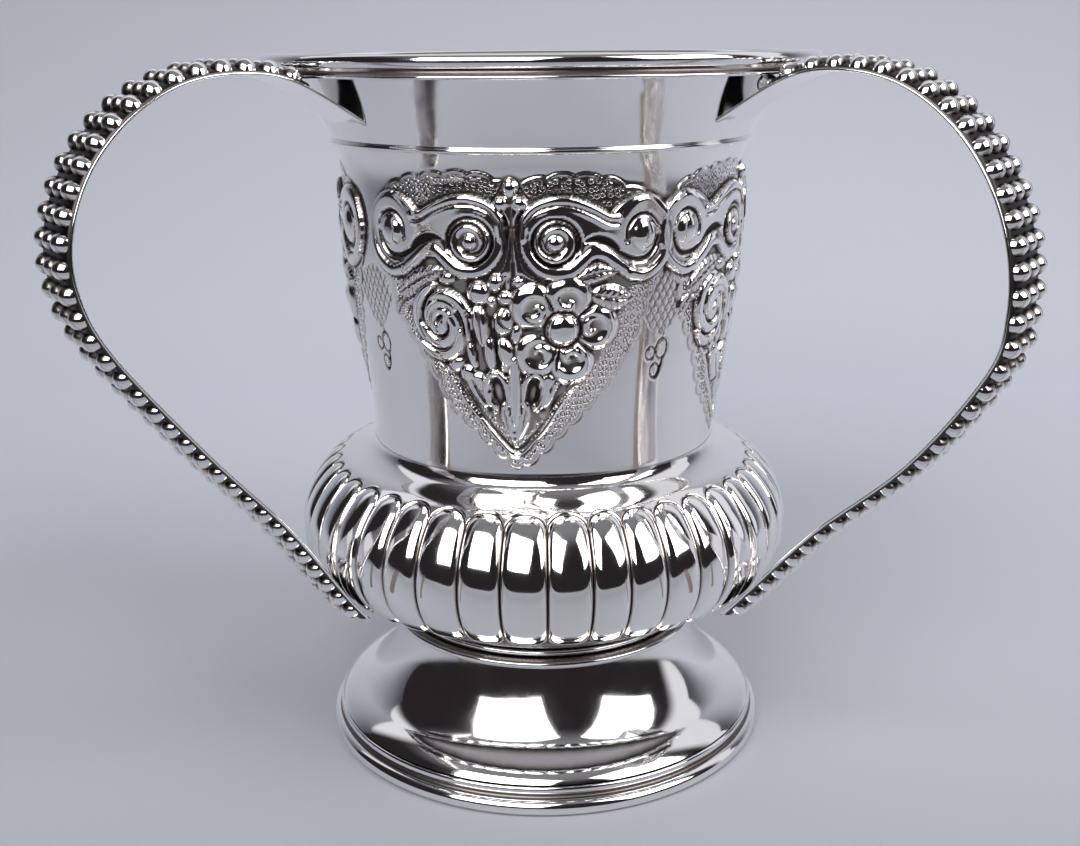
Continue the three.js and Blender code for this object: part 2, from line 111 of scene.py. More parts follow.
def spline(points: Sequence[Pair], spacing: float = 0.35) -> Array:
    """A smooth line through points, closely sampled.

    Args:
        points: what the line passes through.
        spacing: longest step between samples.

    Returns:
        The samples as an (n, 2) array.
    """
    p = np.array(points, float)
    ends = np.vstack([p[0], p, p[-1]])
    out = []
    for i in range(len(p) - 1):
        a, b, c, d = ends[i:i + 4]
        steps = max(2, int(math.ceil(np.linalg.norm(c - b) / spacing)))
        t = np.linspace(0.0, 1.0, steps, endpoint=False)[:, None]
        v0, v1 = (c - a) / 2, (d - b) / 2
        out.append((2 * b - 2 * c + v0 + v1) * t ** 3 + (-3 * b + 3 * c - 2 * v0 - v1) * t ** 2 + v0 * t + b)
    return np.vstack(out + [p[-1:]])


def spans(line: Array) -> Array:
    """The length along a line up to each of its points."""
    return np.concatenate([[0.0], np.cumsum(np.linalg.norm(np.diff(line, axis=0), axis=1))])


def line_length(line: Array) -> float:
    """The length of a line."""
    return float(np.sum(np.linalg.norm(np.diff(line, axis=0), axis=1)))


def oval(x: float, y: float, wide: float, high: float, angles: Array) -> list[Pair]:
    """Points on an oval round a middle, at angles in radians."""
    return [(x + wide * math.cos(a), y + high * math.sin(a)) for a in angles]


def directions(line: Array) -> Array:
    """The direction of a line at each of its points, of length 1."""
    step = np.gradient(line, axis=0)
    return step / np.linalg.norm(step, axis=1)[:, None]


def dome_edge(t: Array) -> Array:
    """A quarter-round rise from 0 to 1."""
    return np.sqrt(np.clip(1 - (1 - np.clip(t, 0, 1)) ** 2, 0, 1))


def polar(radius: Array, azimuth: Array, height: Array) -> Array:
    """Points from radius, azimuth in radians (0 at the front, growing to the right) and height."""
    radius, azimuth, height = np.broadcast_arrays(radius, azimuth, height)
    return np.stack([radius * np.sin(azimuth), -radius * np.cos(azimuth), height], axis=-1)


@dataclass
class Shell:
    """Points and faces of one closed piece while it is being made.

    Args:
        points: (n, 3) millimetres round the cup's axis.
        faces: arrays of corner numbers, each of one face size.
        recess: how dark each point is, from 0 to 1: real patina in the hollows, and in places painted shade.
        punch: each point's place in the punched ground and how deep the rings are struck there, if any.
    """

    points: Array
    faces: list[Array]
    recess: Array
    punch: Array | None = None

    @staticmethod
    def join(shells: Sequence["Shell"]) -> "Shell":
        """One shell that holds several.

        Args:
            shells: the shells, in order.

        Returns:
            The joined shell, without punches.
        """
        start, faces = 0, []
        for s in shells:
            faces += [f + start for f in s.faces]
            start += len(s.points)
        return Shell(np.vstack([s.points for s in shells]), faces, np.concatenate([s.recess for s in shells]))


def grid(rows: int, columns: int, closed: bool = False) -> Array:
    """Quads between rows of points that each run round a ring.

    Args:
        rows: number of rows.
        columns: points in a row.
        closed: whether the last row joins the first.

    Returns:
        Their corner numbers, (n, 4).
    """
    i = np.arange(rows if closed else rows - 1)[:, None]
    j = np.arange(columns)[None, :]
    right, above = (j + 1) % columns, (i + 1) % rows
    quads = [i * columns + j, i * columns + right, above * columns + right, above * columns + j]
    return np.stack(quads, -1).reshape(-1, 4)


def cap(row: int, columns: int, tip: int, under: bool) -> Array:
    """Triangles that close a row of a grid on one point.

    Args:
        row: number of the row's first point.
        columns: points in the row.
        tip: number of the point.
        under: whether they face the first row's side.

    Returns:
        Their corner numbers, (n, 3).
    """
    here = np.arange(columns)
    ends = (here, (here + 1) % columns)[::-1 if under else 1]
    return np.stack([row + ends[0], row + ends[1], np.full(columns, tip)], -1)


def ring_shell(points: Array, recess: Array, closed_rows: bool) -> Shell:
    """A shell from rows of points that run round the axis.

    Args:
        points: (rows, columns, 3), rows in the order of an outline that turns counterclockwise.
        recess: (rows, columns) darkness.
        closed_rows: True for a ring, where the last row joins the first, and False where the first and last
            rows close on single points of the axis.

    Returns:
        The closed shell.
    """
    rows, columns = points.shape[:2]
    flat, dark = points.reshape(-1, 3), recess.reshape(-1)
    faces = [grid(rows, columns, closed_rows)]
    if not closed_rows:
        count = rows * columns
        tips = [(0.0, 0.0, points[0, 0, 2]), (0.0, 0.0, points[-1, 0, 2])]
        flat, dark = np.vstack([flat, tips]), np.concatenate([dark, dark[:1], dark[-1:]])
        faces += [cap(0, columns, count, True), cap(count - columns, columns, count + 1, False)]
    return Shell(flat, faces, dark)


def lathe(outline: Array, segments: int, recess: Array | None = None) -> Shell:
    """A ring turned round the cup's axis.

    Args:
        outline: (n, 2) of radius and height, counterclockwise.
        segments: number of facets round the axis.
        recess: darkness of each outline point.

    Returns:
        The turned shell.
    """
    azimuth = np.linspace(0.0, TURN, segments, endpoint=False)
    dark = np.zeros(len(outline)) if recess is None else recess
    points = polar(outline[:, :1], azimuth[None, :], outline[:, 1:])
    return ring_shell(points, np.repeat(dark[:, None], segments, 1), True)


def blur(values: Array, reach: int) -> Array:
    """Values averaged over a square of neighbours, round the columns and clamped at the rows' ends.

    Args:
        values: (rows, columns).
        reach: how many neighbours on each side.

    Returns:
        The averages.
    """
    width = 2 * reach + 1
    for _ in range(2):
        total = np.cumsum(np.pad(np.pad(values, ((0, 0), (reach, reach)), "wrap"), ((0, 0), (1, 0))), 1)
        values = (total[:, width:] - total[:, :-width]) / width
        total = np.cumsum(np.pad(np.pad(values, ((reach, reach), (0, 0)), "edge"), ((1, 0), (0, 0))), 0)
        values = (total[width:] - total[:-width]) / width
    return values


# Finishes

class Graph:
    """A node tree while it is wired, emptied first.

    Args:
        tree: the node tree.
    """

    def __init__(self, tree: bpy.types.NodeTree) -> None:
        self.tree = tree
        tree.nodes.clear()

    @classmethod
    def material(cls, name: str) -> tuple[bpy.types.Material, "Graph"]:
        """A new material and its graph.

        Args:
            name: name of the material.

        Returns:
            The material, and its emptied graph.
        """
        made = bpy.data.materials.new(name)
        made.use_nodes = True
        return made, cls(made.node_tree)

    def add(self, kind: str, inputs: dict[int | str, object], **settings: object) -> bpy.types.Node:
        """Adds a node.

        Args:
            kind: its type.
            inputs: for each of its sockets the socket to link, or the value to set.
            settings: its own options.

        Returns:
            The node.
        """
        node = self.tree.nodes.new(kind)
        for option, choice in settings.items():
            setattr(node, option, choice)
        for name, value in inputs.items():
            if isinstance(value, Socket):
                self.tree.links.new(value, node.inputs[name])
            else:
                node.inputs[name].default_value = value
        return node

    def math(self, operation: str, *values: Socket | float) -> Socket:
        """The result of a calculation."""
        return self.add("ShaderNodeMath", dict(enumerate(values)), operation=operation).outputs["Value"]

    def mix(self, share: Socket, low: Socket | Colour, high: Socket | Colour) -> Socket:
        """A blend of two colours, the first at a share of 0."""
        low, high = (c if isinstance(c, Socket) else (*c, 1.0) for c in (low, high))
        return self.add("ShaderNodeMix", {0: share, 6: low, 7: high}, data_type="RGBA").outputs[2]

    def step(self, value: Socket, low: float, high: float, rise: str = "SMOOTHSTEP", start: float = 0.0,
             end: float = 1.0) -> Socket:
        """A rise from start to end while the value goes from low to high."""
        span = {"Value": value, "From Min": low, "From Max": high, "To Min": start, "To Max": end}
        return self.add("ShaderNodeMapRange", span, interpolation_type=rise).outputs["Result"]

    def noise(self, vector: Socket, scale: float, detail: float, roughness: float) -> Socket:
        """A noise over the given coordinates."""
        look = {"Vector": vector, "Scale": scale, "Detail": detail, "Roughness": roughness}
        return self.add("ShaderNodeTexNoise", look).outputs["Fac"]

    def bump(self, height: Socket, strength: float, distance: float, under: Socket | None = None,
             sunk: bool = False) -> Socket:
        """A normal bent by a height, or by a depth where sunk, over the one under it.

        Args:
            height: the height.
            strength: how much of it counts.
            distance: its size in metres at a height of 1.
            under: the normal under it, if any.
            sunk: whether the height is a depth.

        Returns:
            The bent normal.
        """
        look = {"Height": height, "Strength": strength, "Distance": distance}
        if under is not None:
            look["Normal"] = under
        return self.add("ShaderNodeBump", look, invert=sunk).outputs["Normal"]

    def place(self, output: str) -> tuple[Socket, Socket, Socket, Socket]:
        """Coordinates of one kind, whole and split into three."""
        whole = self.add("ShaderNodeTexCoord", {}).outputs[output]
        return (whole, *self.add("ShaderNodeSeparateXYZ", {"Vector": whole}).outputs)

    def camera_ray(self) -> Socket:
        """1 where the camera looks straight at the surface."""
        return self.add("ShaderNodeLightPath", {}).outputs["Is Camera Ray"]


class Grain(Enum):
    """How the polishing marks are stretched: round the axis, or every way."""

    ROUND = (90.0, 90.0, 900.0)
    CROSSED = (260.0, 340.0, 300.0)


@dataclass(frozen=True)
class Silver:
    """A finish of polished silver, dark in its recesses: real black patina there, and painted shade where a
    piece lays shade into the same darkness.

    Args:
        name: name of the material.
        tint: colour of the clean metal.
        film: how much of each colour a thin warm film in clouds lets through.
        tarnish_and_shade: colour of the metal near the recesses, both for real dulling and for painted shade.
        oxide_and_shade: colour of the recesses, both for real black patina and for painted shade.
        polish: roughness of the clean metal.
        matt: how much rougher the recesses are.
        wear: how much the roughness varies over the surface.
        scratch: strength of the fine polishing marks.
        dent: strength of the soft unevenness that hammering leaves.
        grain: which way the polishing marks run.
        punched: whether a ground struck with small rings is part of it.
        stained: darkness over which the tarnish sets in.
        blackened: darkness over which the oxide covers it.
        ring_radius: size of a struck ring, as a share of the rings' spacing.
        ring_line: how far off that radius its line is full, and where it ends.
    """

    name: str
    tint: Colour = (0.925, 0.91, 0.905)
    film: Colour = (0.94, 0.94, 0.92)
    tarnish_and_shade: Colour = (0.56, 0.50, 0.47)
    oxide_and_shade: Colour = (0.030, 0.026, 0.026)
    polish: float = 0.055
    matt: float = 0.32
    wear: float = 0.06
    scratch: float = 0.05
    dent: float = 0.02
    grain: Grain = Grain.CROSSED
    punched: bool = False
    stained: Pair = (0.04, 0.55)
    blackened: Pair = (0.42, 0.95)
    ring_radius: float = 0.31
    ring_line: Pair = (0.03, 0.13)

    def material(self) -> bpy.types.Material:
        """Builds the node material, or returns it where it has been built.

        Returns:
            The material.
        """
        if self.name in bpy.data.materials:
            return bpy.data.materials[self.name]
        made, g = Graph.material(self.name)
        place = g.add("ShaderNodeTexCoord", {}).outputs["Object"]
        recess = g.add("ShaderNodeAttribute", {}, attribute_name="recess").outputs["Fac"]
        rings = self.rings(g) if self.punched else None
        depth = g.math("MAXIMUM", recess, rings) if self.punched else recess

        filmed = tuple(c * share for c, share in zip(self.tint, self.film))
        warm = g.mix(g.step(g.noise(place, 38.0, 3.0, 0.55), 0.45, 0.75), self.tint, filmed)
        # the recess darkness picks these colours; where a piece has painted shade into it, they paint that
        # shade too
        near = g.mix(g.step(depth, *self.stained), warm, self.tarnish_and_shade)
        colour = g.mix(g.step(depth, *self.blackened), near, self.oxide_and_shade)

        worn = g.step(g.noise(place, 210.0, 4.0, 0.6), 0.35, 0.8, "LINEAR",
                      self.polish, self.polish + self.wear)
        rough = g.math("MULTIPLY_ADD", recess, self.matt, worn)

        stretch = g.add("ShaderNodeMapping", {"Vector": place, "Scale": self.grain.value})
        normal = g.bump(g.noise(stretch.outputs["Vector"], 2.4, 5.0, 0.75), self.scratch, 0.00006)
        normal = g.bump(g.noise(place, 95.0, 2.0, 0.5), self.dent, 0.0006, normal)
        if rings is not None:
            normal = g.bump(rings, 0.7, 0.00016, normal, sunk=True)
        metal = g.add("ShaderNodeBsdfPrincipled",
                      {"Metallic": 1.0, "Base Color": colour, "Roughness": rough, "Normal": normal})
        g.add("ShaderNodeOutputMaterial", {"Surface": metal.outputs["BSDF"]})
        return made

    def rings(self, g: Graph) -> Socket:
        """A ground of ring punches, 1 on each ring's line and 0 off it.

        Args:
            g: the material's graph.

        Returns:
            The ground's depth.
        """
        struck = g.add("ShaderNodeAttribute", {}, attribute_name="punch").outputs["Vector"]
        spread = {"Vector": struck, "Scale": 0.90, "Randomness": 0.5}
        cells = g.add("ShaderNodeTexVoronoi", spread, voronoi_dimensions="2D")
        away = g.math("ABSOLUTE", g.math("SUBTRACT", cells.outputs["Distance"], self.ring_radius))
        share = g.add("ShaderNodeSeparateXYZ", {"Vector": struck}).outputs["Z"]
        return g.math("MULTIPLY", g.step(away, *self.ring_line, start=1.0, end=0.0), share)


TURNED_SILVER = Silver("turned_silver", grain=Grain.ROUND, dent=0.015)
CHASED_SILVER = Silver("chased_silver", wear=0.07, dent=0.03, punched=True)
LOBED_SILVER = Silver("lobed_silver", wear=0.05, dent=0.03)
STRAP_SILVER = Silver("strap_silver", polish=0.08, wear=0.10, scratch=0.09)
# a darker recess colour for the beads, which also paints the shade between them
BEAD_SILVER = Silver("bead_silver", polish=0.06, wear=0.05, tarnish_and_shade=(0.42, 0.38, 0.36))


# The bench

@dataclass
class Bench:
    """Turns shells into objects of the frame.

    Args:
        axis: where the cup's axis stands in the frame, in metres.
    """

    axis: Vector

    def make(self, name: str, shell: Shell, finish: Silver, node: str, crease: float = SMOOTH_ANGLE) -> None:
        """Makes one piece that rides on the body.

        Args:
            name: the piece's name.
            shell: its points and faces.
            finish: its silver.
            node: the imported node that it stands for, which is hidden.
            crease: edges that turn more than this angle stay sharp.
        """
        mesh = bpy.data.meshes.new(name)
        points = shell.points * MM + np.array(self.axis)
        mesh.vertices.add(len(points))
        mesh.vertices.foreach_set("co", points.astype(np.float32).ravel())
        corners = np.concatenate([f.ravel() for f in shell.faces]).astype(np.int32)
        sizes = np.concatenate([np.full(len(f), f.shape[1]) for f in shell.faces])
        starts = np.concatenate([[0], np.cumsum(sizes)[:-1]]).astype(np.int32)
        mesh.loops.add(len(corners))
        mesh.loops.foreach_set("vertex_index", corners)
        mesh.polygons.add(len(sizes))
        mesh.polygons.foreach_set("loop_start", starts)
        mesh.polygons.foreach_set("use_smooth", np.ones(len(sizes), bool))
        mesh.update(calc_edges=True)
        mesh.validate()
        mesh.set_sharp_from_angle(angle=crease)
        recess = mesh.attributes.new("recess", "FLOAT", "POINT")
        recess.data.foreach_set("value", np.clip(shell.recess, 0.0, 1.0).astype(np.float32))
        if shell.punch is not None:
            struck = mesh.attributes.new("punch", "FLOAT_VECTOR", "POINT")
            struck.data.foreach_set("vector", shell.punch.astype(np.float32).ravel())
        mesh.materials.append(finish.material())
        piece = bpy.data.objects.new(name, mesh)
        bpy.context.scene.collection.objects.link(piece)
        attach(piece, BODY)
        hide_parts(node)
        log.info("%s: %d points, %d faces", name, len(points), len(sizes))


# Foot and base

@dataclass
class Foot:
    """The base moulding, the spreading foot and the two collars over it.

    Args:
        segments: number of facets round the axis.
        roll_radius, roll_height: outermost radius and height of the moulding's roll.
        band_radius: radius of the band over the roll.
        base_height: height of the whole moulding.
        bore: radius inside the moulding.
        waist: radius and height of the foot's top edge.
        shoulder: radius and height where the cove turns into the shoulder.
        collar_bore: radius inside the collars and the foot's top.
        wall: thickness of the foot's sheet.
        collars: name, radius, lower and upper height of each collar.
    """

    segments: int = 288
    roll_radius: float = 43.4
    roll_height: float = 3.0
    band_radius: float = 41.9
    base_height: float = 5.2
    bore: float = 38.6
    waist: Pair = (28.4, 22.1)
    shoulder: Pair = (37.0, 8.4)
    collar_bore: float = 24.0
    wall: float = 0.8
    collars: tuple[tuple[str, float, float, float], ...] = (
        ("lower_collar", 30.5, 22.4, 23.7),
        ("upper_collar", 28.6, 24.0, 25.1),
    )

    def base_outline(self) -> tuple[Array, Array]:
        """The base moulding's section and its darkness.

        Returns:
            Its (n, 2) outline, and the darkness of each point.
        """
        mid = self.roll_height / 2
        roll = arc((self.roll_radius - mid, mid), mid, -78, 96, 18)
        groove = arc((self.band_radius - 0.05, self.roll_height + 0.42), 0.42, 262, 160, 8)
        band = np.vstack([
            [(self.band_radius - 0.28, self.roll_height + 0.75)],
            arc((self.band_radius - 0.45, 4.3), 0.45, 0, 20, 3),
            arc((self.band_radius - 0.60, self.base_height - 0.55), 0.55, 20, 95, 6),
        ])
        outline = np.vstack([[(self.bore, 0.0)], roll, groove, band, [(self.bore, self.base_height)]])
        outline[1:, 1] = np.clip(outline[1:, 1], 0.0, self.base_height)
        dark = np.zeros(len(outline))
        dark[len(roll) - 1:len(roll) + len(groove) + 1] = 0.75
        return outline, dark

    def foot_outline(self) -> Array:
        """The spreading foot's section.

        Returns:
            Its (n, 2) outline.
        """
        edge = (41.4, 5.5)
        cove = bezier([self.waist, (29.5, 17.2), (32.5, 10.5), self.shoulder], 46)
        outer = np.vstack([cove, bezier([self.shoulder, (40.3, 7.06), edge], 22)[1:]])
        step = directions(outer)
        inner = outer + np.stack([step[:, 1], -step[:, 0]], 1) * self.wall
        inner[:, 1] = np.clip(inner[:, 1], edge[1], self.waist[1] - self.wall)
        top = [(self.collar_bore, self.waist[1] - self.wall), (self.collar_bore, self.waist[1])]
        return np.vstack([outer, inner[::-1][:-1], top])[::-1]

    def collar_outline(self, radius: float, low: float, high: float) -> Array:
        """A collar's section, half round on its outer side.

        Args:
            radius: its outermost radius.
            low: its lower height.
            high: its upper height.

        Returns:
            Its (n, 2) outline.
        """
        half = (high - low) / 2
        outer = bezier([(radius - 0.55, low), (radius + 0.12, low + 0.05), (radius + 0.12, high - 0.05),
                        (radius - 0.55, high)], 14)
        outer[:, 0] = np.minimum(outer[:, 0], radius)
        bore = self.collar_bore
        return np.vstack([[(bore, low)], outer, [(bore, high)], [(bore - 0.1, low + half)]])

    def build(self, bench: Bench) -> None:
        """Makes the four pieces.

        Args:
            bench: where its pieces are made.
        """
        outline, dark = self.base_outline()
        pieces = [("base_moulding", "_turned", outline, dark)]
        foot = self.foot_outline()
        pieces.append(("spreading_foot", "_raised", foot, 0.5 * smoothstep((foot[:, 1] - 21.2) / 0.9)))
        for name, radius, low, high in self.collars:
            ring = self.collar_outline(radius, low, high)
            edge = 0.6 * smoothstep((0.35 - np.minimum(ring[:, 1] - low, high - ring[:, 1])) / 0.35)
            pieces.append((name, "_wire", ring, edge))
        for name, made, section, shade in pieces:
            bench.make(name + made, lathe(section, self.segments, shade), TURNED_SILVER, name)


# The lobed bulb

@dataclass
class Bulb:
    """The gadrooned bulb: a smooth shoulder, a belt of lobes with arched tops, and a cavetto below them.

    Args:
        lobes: number of lobes.
        turn_degrees: azimuth of the first groove.
        widest, lower_end, upper_end: the core's oval, as radius and height.
        lower_share, upper_share: how much of a quarter the oval spans below and above its widest point.
        mouth: radius and height of the top edge.
        fillet_from: height over which the side sweeps up into the mouth.
        cavetto_top: height under which it sweeps in to the bottom.
        bottom: radius and height of the bottom edge.
        wall: thickness of the sheet.
        lobe_depth: height of a lobe over the core.
        arch_height, lobe_foot: heights of a lobe's top and foot in its middle.
        pitch_radius: radius at which a lobe's width is measured.
        set_by_eye: azimuth in degrees, and how far the lobes there are off their even spacing.
        offsets: where a lobe's points lie across it, as shares of its half width.
    """

    lobes: int = 42
    turn_degrees: float = 0.65
    widest: Pair = (46.1, 43.0)
    lower_end: Pair = (30.9, 27.7)
    upper_end: Pair = (32.6, 58.2)
    lower_share: float = 0.935
    upper_share: float = 0.957
    mouth: Pair = (32.48, 59.84)
    fillet_from: float = 56.0
    cavetto_top: float = 33.6
    bottom: Pair = (27.4, 25.4)
    wall: float = 0.8
    lobe_depth: float = 1.0
    arch_height: float = 55.3
    lobe_foot: float = 33.2
    pitch_radius: float = 41.0
    set_by_eye: tuple[Pair, ...] = (
        (-180.0, 0.0), (-110.0, -0.6), (-60.0, -3.0), (-33.6, -3.4), (-25.1, -3.3), (-16.5, -2.1),
        (-7.9, -1.4), (0.65, 0.0), (9.2, 1.0), (17.8, 0.6), (26.4, 0.5), (34.9, 0.5), (90.0, 0.3),
        (180.0, 0.0))
    offsets: tuple[float, ...] = (-1.0, -0.965, -0.91, -0.82, -0.69, -0.52, -0.32, -0.11, 0.11, 0.32, 0.52,
                                  0.69, 0.82, 0.91, 0.965)

    def quarter(self, upper: bool, steps: int) -> Array:
        """Points of the upper or the lower oval quarter, from the widest point to its end.

        Args:
            upper: which of the two.
            steps: number of spans.

        Returns:
            An array of steps + 1 points.
        """
        end, share = (self.upper_end, self.upper_share) if upper else (self.lower_end, self.lower_share)
        last = math.asin(share)
        a = np.linspace(0.0, last, steps + 1)
        inward = (1 - np.cos(a)) / (1 - math.cos(last))
        upward = np.sin(a) / share
        return np.stack([self.widest[0] + (end[0] - self.widest[0]) * inward,
                         self.widest[1] + (end[1] - self.widest[1]) * upward], 1)

    def side(self) -> Array:
        """The core's side from the bottom to the mouth, closely sampled.

        Returns:
            An (n, 2) array.
        """
        lower = self.quarter(False, 60)[::-1]
        lower = lower[lower[:, 1] > self.cavetto_top]
        upper = self.quarter(True, 60)[1:]
        upper = upper[upper[:, 1] < self.fillet_from]
        fillet = bezier([upper[-1], (35.2, 57.35), (32.6, 57.5), self.mouth], 18)[1:]
        foot = bezier([self.bottom, (29.4, 26.0), (36.4, 29.4), lower[0]], 24)[:-1]
        return np.vstack([foot, lower, upper, fillet])

    def columns(self) -> tuple[Array, Array]:
        """Where the columns of points lie: across their lobe, from -1 to 1, and their azimuth.

        Returns:
            Two arrays with a value for each column.
        """
        a = np.tile(np.array(self.offsets), self.lobes)
        azimuth = (np.repeat(np.arange(self.lobes), len(self.offsets)) + 0.5 + a / 2) * (TURN / self.lobes)
        azimuth += math.radians(self.turn_degrees)
        nominal = (np.degrees(azimuth) + 180.0) % 360.0 - 180.0
        return a, azimuth + np.radians(np.interp(nominal, *np.array(self.set_by_eye).T))

    def surface(self, a: Array, span: Array, side: Array) -> tuple[Array, Array, Array]:
        """The outside, row by row from the bottom to the mouth.

        Args:
            a: where each column lies across its lobe.
            span: length along the side up to each of its samples.
            side: the samples.

        Returns:
            Three (rows, columns) arrays: length along the side, height over the core, and darkness.
        """
        length = span[-1]
        s_foot = np.interp(self.lobe_foot, side[:, 1], span)
        s_arch = np.interp(self.arch_height, side[:, 1], span)
        half_pitch = math.pi * self.pitch_radius / self.lobes
        off = np.abs(a)
        top = s_arch - half_pitch * (1.0 - np.sqrt(np.clip(1.0 - off ** 2.1, 0.0, 1.0))) * 1.12
        low = s_foot + 0.9 * (1.0 - (1.0 - off ** 2.4) ** 0.5)
        cross = bulge(off, 0.85)
        crease = np.exp(-((1.0 - off) * half_pitch / 0.22) ** 2)
        flat = np.ones_like(a)

        rows = []
        for u in np.linspace(0.0, 1.0, 9)[:-1]:                        # the cavetto
            rows.append((low * u, 0.25 * smoothstep((u - 0.7) / 0.3 * flat),
                         0.30 + 0.50 * smoothstep((u - 0.5) / 0.4 * flat)))
        for u in (0.0, 0.008, 0.022, 0.045, 0.08, *np.linspace(0.12, 0.82, 34),
                  0.86, 0.895, 0.925, 0.95, 0.97, 0.985, 0.994, 1.0):  # the lobes
            to_top, to_low = (top - low) * (1 - u), (top - low) * u
            edge = np.maximum(np.exp(-(to_top / 0.2) ** 2), np.exp(-(to_low / 0.2) ** 2))
            line = np.maximum(crease, edge)
            full = 0.12 + 0.88 * cross * np.minimum(dome_edge(to_top / 2.4), dome_edge(to_low / 1.8))
            rows.append((low + (top - low) * u, self.lobe_depth * full - 0.2 * line, 0.95 * line))
        for u in (0.012, 0.03, 0.06, 0.1, *np.linspace(0.16, 1.0, 16)):  # the shoulder
            above = (length - top) * u
            s = top + above
            swell = self.lobe_depth * 0.42 * np.sqrt(np.clip(above / 0.5, 0, 1))
            swell = swell * (1 - smoothstep((s - s_arch + 1.0) / 5.0))
            rows.append((s, swell - 0.1 * np.exp(-(above / 0.25) ** 2),
                         0.9 * np.exp(-(above / 0.22) ** 2) + 0.25 * smoothstep((s - length + 0.5) / 0.5)))
        return tuple(np.array(part) for part in zip(*rows))

    def build(self, bench: Bench) -> None:
        """Makes the bulb as one closed piece.

        Args:
            bench: where its pieces are made.
        """
        side = self.side()
        span, tangent = spans(side), directions(side)
        a, azimuth = self.columns()
        s, lift, dark = self.surface(a, span, side)
        radius, height, over, up = (np.interp(s, span, v) for v in (*side.T, *tangent.T))
        outer = polar(radius + lift * up, azimuth[None, :], height - lift * over)

        inside = np.vstack([self.quarter(False, 10)[::-1][:-1], self.quarter(True, 10)])
        inside[:, 0] -= self.wall
        lining = np.vstack([[(0.4, inside[0, 1])], [(12.0, inside[0, 1])], inside,
                            [(self.mouth[0] - self.wall, self.mouth[1])]])[::-1]
        inner = polar(lining[:, :1], azimuth[None, :], lining[:, 1:])
        under = polar(np.array([[0.4], [14.0]]), azimuth[None, :], np.full((2, 1), self.bottom[1]))
        points = np.concatenate([under, outer, inner], 0)
        dark = np.concatenate([np.zeros((2, len(a))), dark, np.full((len(lining), len(a)), 0.12)], 0)
        bench.make("gadrooned_bulb_chased", ring_shell(points, dark, False), LOBED_SILVER,
                   "gadrooned_bulb", math.radians(50))


# The chased frieze

